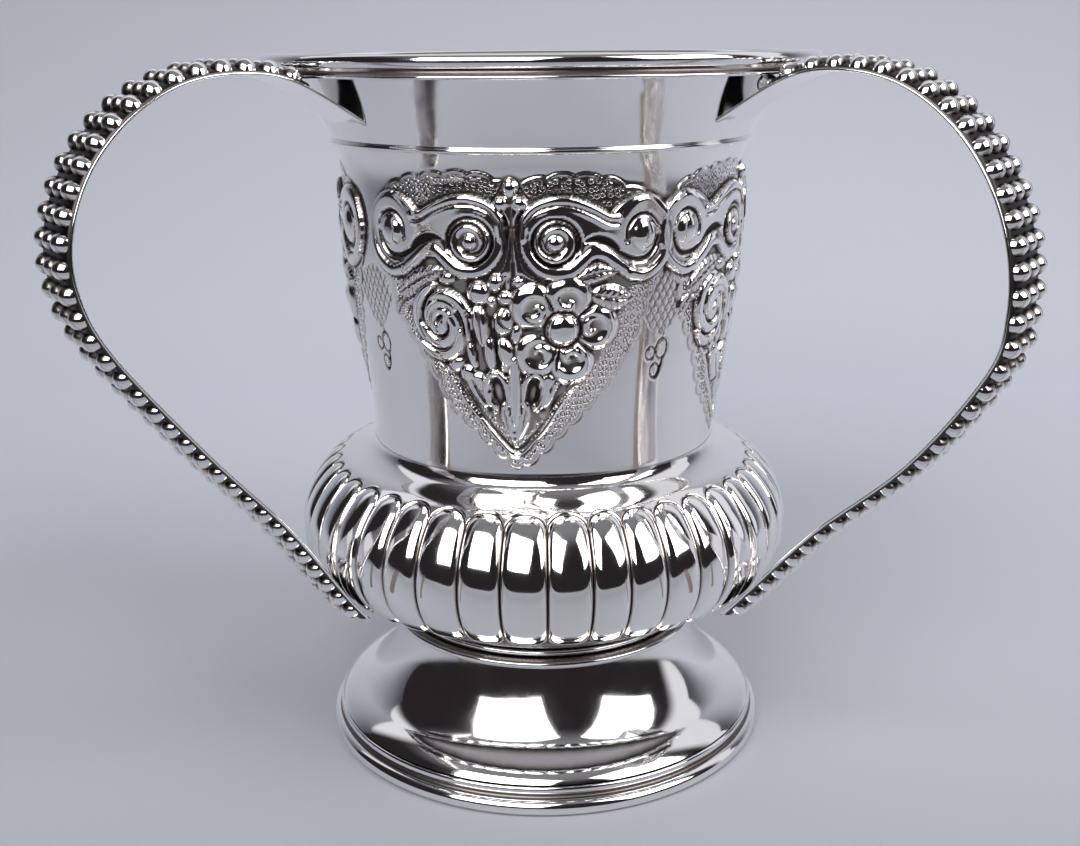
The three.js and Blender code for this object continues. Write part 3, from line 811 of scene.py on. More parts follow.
class Field:
    """The height of a chased repeat over its ground, on a grid of points in millimetres.

    Args:
        x: how far each point lies to the right of the repeat's middle.
        y: its height over the table.
    """

    def __init__(self, x: Array, y: Array) -> None:
        self.x, self.y = np.broadcast_arrays(x, y)
        self.height = np.zeros(self.x.shape)
        self.dark = np.zeros(self.x.shape)
        self.punch = np.zeros(self.x.shape)

    def to_line(self, line: Array) -> tuple[Array, Array]:
        """Distance to a line and how far along it the nearest point lies.

        Args:
            line: (n, 2) samples of the line.

        Returns:
            The distance and the length along the line, for each point of the grid.
        """
        near = np.full(self.x.shape, 1e9)
        along = np.zeros(self.x.shape)
        run = 0.0
        for (ax, ay), (bx, by) in zip(line[:-1], line[1:]):
            ux, uy = bx - ax, by - ay
            span = math.hypot(ux, uy)
            if span < 1e-9:
                continue
            t = np.clip(((self.x - ax) * ux + (self.y - ay) * uy) / span ** 2, 0.0, 1.0)
            d = np.hypot(self.x - ax - t * ux, self.y - ay - t * uy)
            closer = d < near
            near = np.where(closer, d, near)
            along = np.where(closer, run + t * span, along)
            run += span
        return near, along

    def inside(self, outline: Array) -> Array:
        """Which points lie inside a closed outline.

        Args:
            outline: (n, 2) corners.

        Returns:
            True for each that does.
        """
        found = np.zeros(self.x.shape, bool)
        for (ax, ay), (bx, by) in zip(outline, np.roll(outline, -1, axis=0)):
            if ay == by:
                continue
            crosses = (ay > self.y) != (by > self.y)
            found ^= crosses & (self.x < (bx - ax) * (self.y - ay) / (by - ay) + ax)
        return found

    def lift(self, height: Array) -> None:
        """Raises the surface to a height where it is lower, and clears what was chased there.

        Args:
            height: the height for each point.
        """
        rise = np.clip((height - self.height) / 0.12, 0.0, 1.0)
        self.dark = self.dark * (1.0 - rise)
        self.punch = self.punch * (1.0 - rise)
        self.height = np.maximum(self.height, height)

    def sink(self, depth: Array, dark: Array) -> None:
        """Lowers the surface, and darkens it where it is paler."""
        self.height = self.height - depth
        self.dark = np.maximum(self.dark, dark)

    def depth_in(self, outline: Array) -> tuple[Array, Array]:
        """How deep inside a closed outline each point lies, below zero outside it, and how far along it."""
        near, along = self.to_line(outline)
        return np.where(self.inside(outline), near, -near), along

    def stroke(self, points: Sequence[Pair] | Array, half: float, taper: bool, end: float,
               power: float) -> Array:
        """Distances to a line as shares of its half width.

        Args:
            points: what the line passes through.
            half: half its width.
            taper: whether it thins to its ends.
            end: the share of its width that is left there.
            power: how late it thins.

        Returns:
            The share for each point of the grid.
        """
        line = spline(points)
        near, along = self.to_line(line)
        if not taper:
            return near / half
        swell = np.sin(np.clip(along / line_length(line), 0.02, 0.98) * math.pi) ** power
        return near / (half * (end + (1.0 - end) * swell))

    def plate(self, points: Sequence[Pair], height: float, slope: float) -> Array:
        """A flat raised plate with sloped edges.

        Args:
            points: what its outline passes through.
            height: its height.
            slope: width of the sloped edge.

        Returns:
            How deep inside the outline each point lies, below zero outside it.
        """
        deep, _ = self.depth_in(spline([*points, points[0]]))
        self.lift(height * np.where(deep > 0, 1 - (1 - np.clip(deep / slope, 0, 1)) ** 2, 0))
        return deep

    def dome(self, x: float, y: float, wide: float, high: float, height: float, turn: float = 0.0,
             base: float = 0.0) -> Array:
        """An oval dome.

        Args:
            x, y: its middle.
            wide, high: its half sizes.
            height: its height over its base.
            turn: how far it leans to the left, in degrees.
            base: height of what it stands on.

        Returns:
            Each point's distance from the middle as a share of the dome's size.
        """
        c, s = math.cos(math.radians(turn)), math.sin(math.radians(turn))
        dx, dy = self.x - x, self.y - y
        t = np.hypot((dx * c + dy * s) / wide, (dy * c - dx * s) / high)
        self.lift(np.where(t < 1, base + height * bulge(t, 0.75), 0))
        return t

    def ridge(self, points: Sequence[Pair] | Array, half: float, height: float, base: float = 0.0,
              taper: bool = False) -> None:
        """A rounded ridge along a line.

        Args:
            points: what the line passes through.
            half: half its width.
            height: its height over its base.
            base: height of what it stands on.
            taper: whether it thins to its ends.
        """
        t = self.stroke(points, half, taper, 0.25, 0.6)
        self.lift(np.where(t < 1, base + height * bulge(t, 0.6), 0))

    def groove(self, points: Sequence[Pair] | Array, half: float, depth: float, dark: float = 0.9,
               taper: bool = False) -> None:
        """A chased line cut into whatever is there.

        Args:
            points: what the line passes through.
            half: half its width.
            depth: its depth.
            dark: how black its floor is.
            taper: whether it thins to its ends.
        """
        share = bulge(self.stroke(points, half, taper, 0.2, 0.7), 0.3)
        self.sink(depth * share, dark * smoothstep(share * 1.6 - 0.25))


@dataclass
class Frieze:
    """One chased repeat: scrolls over a flower, a rose, leaves and an acanthus tip on ring-matted ground.

    Args:
        degree: millimetres of the wall for each degree round the axis.
        ground: height of the matted ground.
        border_top, border_low: what the ground's outline passes through, as degrees and height.
    """

    degree: float = 0.637
    ground: float = 0.22
    border_top: tuple[Pair, ...] = (
        (-42.5, 104.5), (-39.5, 107.6), (-36.0, 109.2), (-31.4, 110.5), (-25.0, 111.3), (-18.6, 111.7),
        (-12.0, 111.9), (-7.0, 111.4), (-3.0, 110.4), (0.0, 109.5), (3.2, 110.3), (8.4, 111.2), (14.0, 111.5),
        (19.6, 111.3), (25.0, 110.7), (30.1, 109.3), (35.0, 108.3), (39.5, 106.8), (42.0, 104.0))
    border_low: tuple[Pair, ...] = (
        (42.0, 99.0), (38.6, 94.0), (35.5, 88.5), (33.2, 84.0), (29.6, 80.0), (24.7, 75.6), (18.6, 71.6),
        (12.5, 68.0), (7.0, 64.6), (0.2, 62.0), (-6.5, 64.6), (-12.4, 68.2), (-18.2, 71.0), (-22.6, 75.1),
        (-26.0, 79.2), (-30.5, 83.4), (-34.4, 87.7), (-36.5, 92.5), (-41.0, 97.0))

    def at(self, points: Sequence[Pair]) -> list[Pair]:
        """Points given as degrees and height, in millimetres."""
        return [(d * self.degree, z) for d, z in points]

    def field(self, x: Array, y: Array) -> Field:
        """Chases one repeat.

        Args:
            x: distances from the repeat's middle.
            y: heights over the table.

        Returns:
            The chased field.
        """
        f = Field(x, y)
        self.matting(f)
        for hand in (-1, 1):
            self.scroll(f, hand)
        self.trefoil(f)
        self.leaves(f)
        self.flower(f)
        self.rose(f)
        self.buds(f)
        self.acanthus(f)
        return f

    def matting(self, f: Field) -> None:
        """Raises the ground inside the scalloped border, marks where it is punched with rings, and paints
        shadows under the scallops.

        Args:
            f: the field to chase.
        """
        outline = spline(self.at(self.border_top + self.border_low))
        outline = np.vstack([outline, outline[:1]])
        deep, along = f.depth_in(outline)
        upper = smoothstep((f.y - 98.0) / 4.0)
        pitch = np.where(f.y > 100.0, 4.5, 3.7)
        lobe = np.sqrt(np.clip(1 - (2 * ((along / pitch) % 1.0) - 1) ** 2, 0, 1))
        deep = deep + (1.15 - 0.3 * upper) * lobe - 0.5
        f.lift(self.ground * smoothstep(deep / 0.4 + 0.5))
        edge = np.exp(-((deep - 0.55) / 0.16) ** 2)
        # painted shadow under each scallop of the lower border, full on the right of the repeat and weaker on
        # its left
        under = np.exp(-((deep + 0.12) / 0.24) ** 2) * (1.0 - upper)
        side = np.where(f.x > 0.0, 1.0, 0.55)
        # the border's chased line, with the painted scallop shadows laid into it
        line = np.maximum((0.40 + 0.1 * upper) * edge, 0.95 * under * side * lobe)
        f.sink(0.08 * edge, np.maximum(line, 0.35 * np.exp(-(deep / 0.2) ** 2)))
        # painted shadow crescents under the scallops on the right flank, sunk a little
        shade = np.exp(-((deep + 0.34) / 0.34) ** 2) * lobe ** 2 * (f.x > 8.0)
        shade = shade * smoothstep((f.y - 71.5) / 2.0) * smoothstep((90.0 - f.y) / 4.0)
        f.sink(0.25 * shade, shade)
        inner = smoothstep((deep - 3.9) / 1.4) * (1.0 - upper)
        f.sink(0.12 * inner, 0.62 * inner)
        f.punch = smoothstep((deep - 0.75) / 0.3) * (1.0 - inner)

    def scroll(self, f: Field, hand: int) -> None:
        """One S-scroll between a large and a small volute.

        Args:
            f: the field to chase.
            hand: 1 for the right one and -1 for the left one.
        """
        scale, rise, sign = (1.0, 0.0, 1) if hand > 0 else (-1.035, 0.15, -1)
        turned = lambda points: [(d * scale * self.degree, z + rise) for d, z in points]
        plate = 0.72
        deep = f.plate(turned([
            (1.7, 103.5), (2.8, 105.6), (6.0, 107.6), (10.5, 108.3), (15.0, 108.2), (20.0, 107.0),
            (24.0, 105.5), (26.5, 105.3), (29.0, 106.9), (32.0, 108.1), (36.0, 108.1), (39.8, 106.4),
            (42.3, 103.3), (42.6, 100.5), (41.5, 97.3), (38.7, 94.8), (34.5, 93.6), (31.0, 93.8),
            (27.0, 95.8), (23.5, 97.7), (20.5, 97.9), (18.3, 96.7), (16.0, 95.5), (13.0, 94.6), (10.0, 94.5),
            (6.5, 95.4), (3.4, 97.8), (1.9, 101.0)]), plate, 1.1)
        f.height = f.height + 0.075 * (f.y - 101.0) * np.clip(deep / 0.8, 0, 1)
        crest = [(2.4, 101.5), (3.2, 104.6), (6.0, 106.6), (10.5, 107.5), (15.0, 107.3), (20.0, 106.1),
                 (24.0, 104.7), (26.5, 104.5)]
        f.ridge(turned(crest), 0.72, 0.40, plate + 0.16)
        f.ridge(turned([(d, z - 1.35) for d, z in crest[2:]]), 0.5, 0.20, plate + 0.2, True)
        f.groove(turned([(d, z - 0.80) for d, z in crest[1:]]), 0.24, 0.26, 0.9)
        f.ridge(turned([(26.0, 104.7), (28.5, 106.1), (32.0, 107.1), (36.0, 107.1), (39.2, 105.5),
                        (41.2, 102.8), (41.4, 100.0), (40.0, 97.5), (37.4, 95.8), (34.0, 94.9),
                        (30.8, 95.4)]), 0.95, 0.34, plate - 0.04)
        f.ridge(turned([(30.8, 95.2), (27.2, 96.9), (23.4, 98.7), (20.0, 98.8), (17.4, 97.4), (14.5, 96.0),
                        (10.5, 95.7), (7.0, 96.5), (4.3, 98.7), (2.9, 101.5)]), 0.95, 0.24, plate - 0.12)
        f.groove(turned([(31.4, 96.8), (27.6, 98.4), (24.0, 100.0), (20.4, 100.3), (17.8, 98.9)]),
                 0.2, 0.16, 0.7)

        cx, cy = 10.75 * self.degree * scale, 100.75 + rise
        f.ridge(oval(cx, cy, 2.62, 2.62, np.linspace(0.0, TURN, 40)), 0.95, 0.34, plate + 0.02)
        coil = []
        for turn in np.linspace(0.0, 1.85, 46):
            reach = 3.95 - 0.5 * min(turn, 1.0) - 1.75 * max(turn - 1.0, 0.0)
            angle = TURN * (turn - 0.06)
            coil.append((cx + scale * reach * math.cos(angle), cy + reach * math.sin(angle)))
        f.groove(coil, 0.40, 0.52, 1.0)
        f.dome(cx, cy, 1.45, 1.45, 1.0, 0.0, 0.42)

        bx, by = 33.9 * self.degree * scale, 101.75 + rise
        below = np.linspace(math.radians(200), math.radians(20), 24)
        f.groove(oval(bx, by - 0.1, sign * 3.0, 3.35, below), 0.48, 0.5, 0.95, True)
        f.groove(turned([(24.6, 100.0), (28.2, 98.6), (31.6, 97.6), (35.0, 97.7), (37.4, 99.3),
                         (38.4, 101.6)]), 0.62, 0.55, 1.0, True)
        f.groove(turned([(18.4, 100.9), (21.4, 101.2), (24.8, 100.5), (27.4, 99.4)]), 1.0, 0.5, 1.0, True)
        f.dome(bx, by, 2.45, 2.75, 1.0, 0.0, 0.5)

    def trefoil(self, f: Field) -> None:
        """Three small domes and a point between the scrolls, over a dark channel with chased lines.

        Args:
            f: the field to chase.
        """
        here = f.inside(spline(self.at([
            (-2.6, 105.0), (2.6, 105.0), (2.2, 101.0), (3.2, 97.4), (7.4, 94.4), (4.4, 92.4), (0.0, 91.6),
            (-4.6, 92.4), (-7.6, 94.4), (-3.6, 97.4), (-2.5, 101.0), (-2.6, 105.0)])))
        f.dark = np.where(here, np.maximum(f.dark, 0.85), f.dark)
        f.punch = np.where(here, 0.0, f.punch)
        for hand in (-1, 1):
            for low, reach in ((91.8, 1.0), (93.2, 2.8), (94.6, 5.0)):
                f.ridge(self.at([(hand * 0.5, 103.0), (hand * 0.8, 99.0), (hand * (0.8 + reach * 0.35), 96.0),
                                 (hand * (0.8 + reach), low)]), 0.34, 0.26, 0.12, True)
        point = [(-4.6, 107.4), (-0.4, 109.0), (4.0, 107.4), (1.8, 105.0), (-0.2, 102.9), (-2.4, 105.0)]
        f.plate(self.at(point), 0.7, 0.7)
        f.dome(-0.5 * self.degree, 109.5, 1.25, 1.45, 0.95, 0.0, 0.3)
        for d, lean in ((-2.9, 20.0), (2.1, -20.0)):
            f.dome(d * self.degree, 107.1, 1.3, 1.15, 0.75, lean, 0.5)
        f.groove(self.at([(-0.3, 106.6), (-0.2, 103.4)]), 0.2, 0.3, 0.9)
        for line in ([(-5.0, 107.6), (-3.0, 109.5), (-2.2, 110.9)],
                     [(4.2, 107.6), (2.2, 109.5), (1.4, 110.9)]):
            f.groove(self.at(line), 0.28, 0.2, 0.9)

    def leaf(self, f: Field, base: Pair, tip: Pair, half: float, height: float, bow: float = 0.0) -> None:
        """A pointed leaf with a midrib and slanting veins.

        Args:
            f: the field to chase.
            base, tip: its ends, as degrees and height.
            half: half its width.
            height: its height.
            bow: how far its midrib bows to the left of its direction.
        """
        (bx, by), (tx, ty) = self.at([base, tip])
        long = math.hypot(tx - bx, ty - by)
        ux, uy = (tx - bx) / long, (ty - by) / long
        point = lambda s, w: (bx + ux * s * long - uy * (w + bow * math.sin(math.pi * s)),
                              by + uy * s * long + ux * (w + bow * math.sin(math.pi * s)))
        shares = (0.0, 0.12, 0.3, 0.5, 0.7, 0.87, 1.0)
        widths = (0.15, 0.62, 0.95, 1.0, 0.8, 0.42, 0.0)
        left, right = ([point(s, edge * w) for s, w in zip(shares, widths)] for edge in (half, -half))
        f.plate([*left, *right[::-1][1:]], height, half * 0.55)
        for k in range(1, 7):
            s = 0.08 + 0.13 * k
            w = half * np.interp(s, shares, widths)
            for sign in (-1, 1):
                f.groove([point(s - 0.07, sign * 0.1), point(s + 0.05, sign * w * 0.86)], 0.14, 0.16, 0.55)
        f.groove([point(s, 0.0) for s in (0.02, 0.3, 0.6, 0.93)], 0.17, 0.26, 0.9)

    def leaves(self, f: Field) -> None:
        """The leaves that lie between the scrolls and the flowers.

        Args:
            f: the field to chase.
        """
        for base, tip, half, height, bow in (
                ((15.4, 94.4), (27.8, 95.9), 1.75, 0.80, 0.5),
                ((19.6, 92.3), (32.6, 91.0), 2.35, 0.85, -0.3),
                ((-34.0, 91.0), (-17.4, 96.3), 2.0, 0.80, 0.6),
                ((-33.4, 89.4), (-24.0, 92.4), 1.7, 0.70, 0.3),
                ((-36.0, 87.0), (-30.6, 91.0), 1.5, 0.60, 0.2)):
            self.leaf(f, base, tip, half, height, bow)

    def flower(self, f: Field) -> None:
        """A domed eye in five cupped petals.

        Args:
            f: the field to chase.
        """
        cx, cy = 12.8 * self.degree, 86.3
        petals = []
        for d, z, size in ((14.3, 92.0, 3.75), (22.2, 86.6, 3.75), (15.2, 80.4, 3.85), (5.2, 81.6, 3.8),
                           (4.4, 90.4, 3.8)):
            x, away = d * self.degree, math.atan2(z - cy, d * self.degree - cx)
            petals.append((x, z, away))
            f.dome(x, z, size * 1.06, size, 1.15, math.degrees(away) - 90, 0.12)
        for x, z, away in petals:
            ex, ey = x - math.cos(away), z - math.sin(away)
            cup = bulge(np.hypot(f.x - ex, f.y - ey) / 2.55, 0.5)
            f.sink(0.90 * cup, 0.70 * smoothstep(cup * 1.4 - 0.55))
            curl = [(ex + (1.75 - 1.3 * t) * math.cos(away + 1.2 + 4.2 * t),
                     ey + (1.75 - 1.3 * t) * math.sin(away + 1.2 + 4.2 * t)) for t in np.linspace(0, 1, 14)]
            f.ridge(curl, 0.75, 0.50, 0.36, True)
            side = away + math.pi / len(petals)
            parting = [(cx + r * math.cos(side), cy + r * math.sin(side)) for r in (2.9, 7.0)]
            f.groove(parting, 0.42, 0.5, 1.0, True)
        moat = np.exp(-((np.hypot(f.x - cx, f.y - cy) - 3.05) / 0.34) ** 2)
        f.sink(0.5 * moat, 0.9 * moat)
        f.dome(cx, cy, 2.9, 2.9, 1.45, 0.0, 0.12)

    def rose(self, f: Field) -> None:
        """A rose of overlapping petals wound round its middle.

        Args:
            f: the field to chase.
        """
        cx, cy = -20.4 * self.degree, 86.9
        f.dome(cx, cy, 5.7, 6.9, 0.95, 8.0, 0.1)
        for k, (reach, start, sweep) in enumerate(((4.6, -20, 130), (4.7, 100, 130), (4.5, 215, 130),
                                                   (3.0, 40, 150), (2.9, 190, 190), (1.5, 60, 210))):
            angles = np.radians(np.linspace(start, start + sweep, 16))
            swell = 1.2 if k < 3 else 1.1
            wind = np.linspace(0.75, -0.75, 16)
            wound = lambda inset: [
                (cx + (reach + w - inset) * math.cos(a), cy + (reach + w - inset) * swell * math.sin(a))
                for a, w in zip(angles, wind)]
            f.ridge(wound(0.0), 1.15, 0.55, 0.65, True)
            f.groove(wound(0.95), 0.42, 0.62, 1.0, True)
        f.dome(cx + 0.15, cy - 0.1, 0.95, 1.0, 0.7, 0.0, 0.5)

    def buds(self, f: Field) -> None:
        """The small domes and long lobes between the rose and the flower.

        Args:
            f: the field to chase.
        """
        for d, z, wide, high, rise, lean in (
                (-18.0, 94.6, 1.6, 1.2, 0.85, 12), (-9.4, 92.4, 2.15, 2.1, 1.15, 0),
                (-4.8, 94.2, 1.3, 1.6, 1.0, -10), (-13.4, 95.3, 1.2, 0.9, 0.7, 0),
                (-2.2, 91.7, 1.35, 1.25, 0.9, 25), (-9.2, 86.9, 1.5, 3.9, 1.1, 6),
                (-3.0, 87.6, 1.9, 2.5, 1.1, -14), (-6.9, 82.0, 1.25, 3.3, 0.95, 4),
                (-2.6, 82.2, 1.6, 2.9, 1.05, 14), (-13.7, 78.3, 1.75, 1.7, 0.95, -20),
                (-17.6, 79.6, 2.2, 1.2, 0.7, 35), (-5.9, 91.0, 0.9, 0.9, 0.7, 0),
                (1.2, 94.4, 0.9, 0.9, 0.8, 0), (-12.2, 81.6, 0.9, 2.4, 0.7, 10),
                (0.4, 85.6, 0.9, 1.8, 0.7, -12)):
            f.dome(d * self.degree, z, wide, high, rise, lean, 0.08)
        for line, *cut in (
                ([(-9.3, 90.6), (-9.0, 84.0)], 0.22, 0.3, 0.8),
                ([(-2.3, 90.1), (-3.6, 88.0), (-1.4, 86.4)], 0.22, 0.3, 0.9),
                ([(-5.4, 88.0), (-5.2, 79.6)], 0.35, 0.4, 1.0, True),
                ([(-12.6, 89.5), (-11.4, 84.0), (-10.6, 79.4)], 0.38, 0.4, 1.0, True)):
            f.groove(self.at(line), *cut)

    def acanthus(self, f: Field) -> None:
        """The tip of three leaves inside a smooth moulded edge.

        Args:
            f: the field to chase.
        """
        edge = [(-23.0, 80.0), (-18.8, 77.0), (-15.4, 73.6), (-11.6, 70.6), (-6.6, 67.0), (-0.6, 63.9),
                (5.0, 66.8), (8.8, 69.6), (12.4, 73.2), (17.0, 76.4)]
        f.ridge(self.at(edge), 0.50, 0.42, 0.26, True)
        f.groove(self.at([(d * 0.93 - 0.05, z + 1.05) for d, z in edge]), 0.40, 0.30, 1.0, True)
        for points, height in (
                ([(-15.4, 77.4), (-12.8, 74.2), (-9.0, 71.6), (-5.6, 71.6), (-5.8, 75.0), (-8.6, 78.2),
                  (-12.0, 78.8)], 0.9),
                ([(12.4, 77.0), (10.4, 73.8), (7.4, 71.8), (4.4, 72.2), (4.6, 75.6), (7.0, 78.6),
                  (10.0, 78.8)], 0.9),
                ([(-5.0, 72.6), (-4.8, 69.6), (-1.0, 65.6), (3.2, 69.2), (3.8, 72.6), (1.8, 74.2),
                  (-3.0, 74.2)], 0.75),
                ([(-4.4, 80.8), (3.8, 80.8), (3.0, 78.6), (-3.8, 78.6)], 0.6)):
            f.plate(self.at(points), height, 1.0)
        f.ridge(self.at([(-0.4, 81.2), (-0.5, 76.0), (-0.8, 69.8)]), 1.5, 1.05, 0.1, True)
        folds = (([(11.6, 1.0, 77.4), (8.6, 0.8, 74.0), (5.4, 0.6, 71.6)], 0.28, 0.34, 0.85),
                 ([(8.4, 0.8, 78.0), (7.0, 0.6, 75.4)], 0.22, 0.28, 0.7),
                 ([(3.6, 0.4, 79.6), (2.6, 0.4, 75.2), (1.4, 0.5, 71.2)], 0.30, 0.42, 1.0),
                 ([(3.2, 0.6, 72.4), (2.0, 0.8, 68.6)], 0.22, 0.24, 0.7))
        hood = [(2.0, 73.0), (3.2, 77.6), (6.4, 78.6), (8.6, 75.8), (7.4, 72.6)]
        for hand in (-1, 1):
            for fold, half, depth, dark in folds:
                f.groove(self.at([(hand * d - off, z) for d, off, z in fold]), half, depth, dark, True)
        for hand in (-1, 1):
            f.ridge(self.at([(hand * d - 0.3, z) for d, z in hood]), 0.62, 0.40, 0.72, True)
        for d, z, size in ((-5.3, 75.3, 1.45), (5.0, 75.3, 1.45), (7.4, 71.6, 0.8), (-8.2, 71.8, 0.8)):
            cup = bulge(np.hypot(f.x - d * self.degree, (f.y - z) / 1.7) / size, 0.2)
            f.sink(0.7 * cup, smoothstep(cup * 1.8 - 0.3))
        for k in range(5):
            f.dome((-0.9 - 0.12 * k) * self.degree, 66.8 + 1.15 * k, 0.36, 0.42, 0.22, 0.0, 0.7)


@dataclass
class Beaker:
    """The beaker with its frieze, flared neck and lip, and the wire round its neck.

    Args:
        columns: points in each row round the wall.
        foot_radius, radius: outside radius at the foot, and of the upper body.
        bottom, height: height of the foot's edge, and of the body over it.
        taper_share: share of the body that widens.
        neck: the flare's curve, as radius and height.
        wall: thickness of the sheet.
        frieze_from, frieze_to: heights between which the wall is chased.
        row: height of each row there.
        axes: azimuth of each repeat's middle, in degrees.
        repeat_half, gap_half: half widths of a repeat and of what is chased between two, in degrees.
        unrolled: radius at which chased distances are measured.
        wire_height: height of the wire.
        frieze: the chased repeat.
    """

    columns: int = 880
    foot_radius: float = 32.4
    radius: float = 36.4
    bottom: float = 59.9
    height: float = 51.8
    taper_share: float = 0.75
    neck: tuple[Pair, Pair, Pair] = ((36.4, 111.7), (40.504, 121.734), (47.2, 129.0))
    wall: float = 0.8
    frieze_from: float = 61.0
    frieze_to: float = 113.4
    row: float = 0.26
    axes: tuple[float, ...] = (-7.5, 75.7, 164.1, -99.6)
    repeat_half: float = 45.5
    gap_half: float = 11.0
    unrolled: float = 36.5
    wire_height: float = 115.2
    frieze: Frieze = field(default_factory=Frieze)

    def __post_init__(self) -> None:
        """Samples the wall's outside once, with the bend into the neck rounded off."""
        z = np.linspace(self.bottom, self.neck[2][1], 1400)
        body = self.foot_radius + (self.radius - self.foot_radius) * smoothstep(
            (z - self.bottom) / self.height / self.taper_share)
        curve, bend = bezier(self.neck, 200), self.neck[0][1]
        raw = np.where(z > bend, np.interp(z, curve[:, 1], curve[:, 0]), body)
        kernel = np.hanning(181)
        soft = np.convolve(raw, kernel / kernel.sum(), "same")
        near = (z > bend - 5) & (z < bend + 5)
        self._z, self._r = z, np.where(near, soft, raw)

    def wall_radius(self, z: Array | float) -> Array:
        """The outside's radius at a height."""
        return np.interp(z, self._z, self._r)

    def relief(self, azimuth: Array, z: Array) -> tuple[Array, Array, Array]:
        """The frieze's height, darkness and ring punches over the whole wall.

        Args:
            azimuth: of each column, evenly spaced from 0.
            z: height of each row.

        Returns:
            Two (rows, columns) arrays, and one of (across, height, share) for the punches.
        """
        step = TURN / self.columns
        half = int(math.radians(self.repeat_half) / step)
        local = np.arange(-half, half + 1) * step * self.unrolled
        one = self.frieze.field(local[None, :], z[:, None])
        height = np.zeros((len(z), self.columns))
        dark = np.zeros_like(height)
        punch = np.zeros((*height.shape, 3))
        for axis in self.axes:
            middle = round(math.radians(axis) / step)
            at = (np.arange(-half, half + 1) + middle) % self.columns
            height[:, at] = np.where(np.abs(one.height) > np.abs(height[:, at]), one.height, height[:, at])
            dark[:, at] = np.maximum(dark[:, at], one.dark)
            mark = np.stack(np.broadcast_arrays(local[None, :], z[:, None], one.punch), -1)
            punch[:, at] = np.where(mark[..., 2:] >= punch[:, at, 2:], mark, punch[:, at])
        for low, high in zip(sorted(self.axes), sorted(self.axes)[1:] + [min(self.axes) + 360.0]):
            self.chase_gap(height, dark, azimuth, z, (low + high) / 2)
        reach = max(2, round(0.75 / self.row))
        hollow = np.clip((blur(height, reach) - height) / 0.30, 0, 1)
        dark = np.maximum(dark, 0.90 * smoothstep(hollow))
        return height, dark, punch

    def chase_gap(self, height: Array, dark: Array, azimuth: Array, z: Array, middle: float) -> None:
        """Chases the lattice and the looped drop between two repeats.

        Args:
            height, dark: the wall's arrays, changed in place.
            azimuth: of each column.
            z: height of each row.
            middle: azimuth between the repeats, in degrees.
        """
        away = (azimuth - math.radians(middle) + math.pi) % TURN - math.pi
        near = np.flatnonzero(np.abs(away) < math.radians(self.gap_half))
        near = near[np.argsort(away[near])]
        f = Field(away[near][None, :] * self.unrolled, z[:, None])
        for x in np.arange(-6, 7) * 1.5:
            for slant in (-3.4, 3.4):
                f.groove([(x - slant, 84.0), (x + slant, 95.6)], 0.19, 0.14, 0.65)
        keep = f.inside(np.array([(-5.4, 90.4), (-2.2, 85.6), (0.0, 83.6), (2.2, 85.6), (5.4, 90.4),
                                  (3.4, 94.2), (0.0, 95.6), (-3.4, 94.2)]))
        f.height, f.dark = f.height * keep, f.dark * keep
        for loop in ((-1.5, 80.9, 1.0, 1.15), (0.95, 81.5, 1.25, 1.8), (-0.2, 77.7, 0.95, 1.3)):
            f.groove(oval(*loop, np.linspace(0, TURN, 15)), 0.26, 0.18, 0.9)
        f.groove([(0.6, 85.2), (0.9, 83.4), (0.2, 82.2)], 0.2, 0.14, 0.7, True)
        f.groove([(1.5, 80.0), (1.0, 77.6), (0.0, 76.0)], 0.42, 0.2, 1.0, True)
        free = np.abs(height[:, near]) < 0.05
        height[:, near] += f.height * free
        dark[:, near] = np.maximum(dark[:, near], f.dark * free)

    def build(self, bench: Bench) -> None:
        """Makes the beaker as one closed piece, and its wire.

        Args:
            bench: where its pieces are made.
        """
        azimuth = np.arange(self.columns) * (TURN / self.columns)
        z = np.arange(self.frieze_from, self.frieze_to, self.row)
        height, dark, punch = self.relief(azimuth, z)
        foot_z = np.array([self.bottom, self.bottom + 0.25, self.bottom + 0.6])
        top = self.neck[2][1]
        neck_z = np.concatenate([np.linspace(self.frieze_to + 0.3, 126.4, 22), np.linspace(127.2, top, 4)])
        lip = np.array([(47.05, 129.35), (46.75, 129.5), (46.45, 129.35)])
        inner_z = np.concatenate([np.linspace(top, 113.0, 16), np.linspace(110.0, 62.0, 10), [self.bottom]])
        parts = [(self.wall_radius(foot_z) + np.array([0.06, 0.04, 0.0]), foot_z, (0.3, 0.1, 0.0)),
                 (self.wall_radius(z)[:, None] + height, z, dark),
                 (self.wall_radius(neck_z), neck_z, np.zeros(len(neck_z))),
                 (lip[:, 0], lip[:, 1], np.full(3, 0.1)),
                 (self.wall_radius(inner_z) - self.wall, inner_z, np.full(len(inner_z), 0.1))]
        points, marks = [], []
        for radius, level, shade in parts:
            level, size = level[:, None], (len(level), self.columns)
            points.append(polar(radius if radius.ndim == 2 else radius[:, None], azimuth[None, :], level))
            marks.append(np.broadcast_to(shade if np.ndim(shade) == 2 else np.array(shade)[:, None], size))
        shell = ring_shell(np.concatenate(points), np.concatenate(marks), True)
        shell.punch = np.zeros((sum(len(m) for m in marks), self.columns, 3))
        shell.punch[len(foot_z):len(foot_z) + len(z)] = punch
        bench.make("beaker_body_chased", shell, CHASED_SILVER, "beaker_body", math.radians(70))
        wire_r = float(self.wall_radius(self.wire_height)) + 0.22
        section = arc((wire_r, self.wire_height), 0.48, -180, 180, 22)[:-1]
        shade = 0.7 * smoothstep((wire_r - 0.1 - section[:, 0]) / 0.3)
        bench.make("neck_wire_drawn", lathe(section, 320, shade), TURNED_SILVER, "neck_wire")


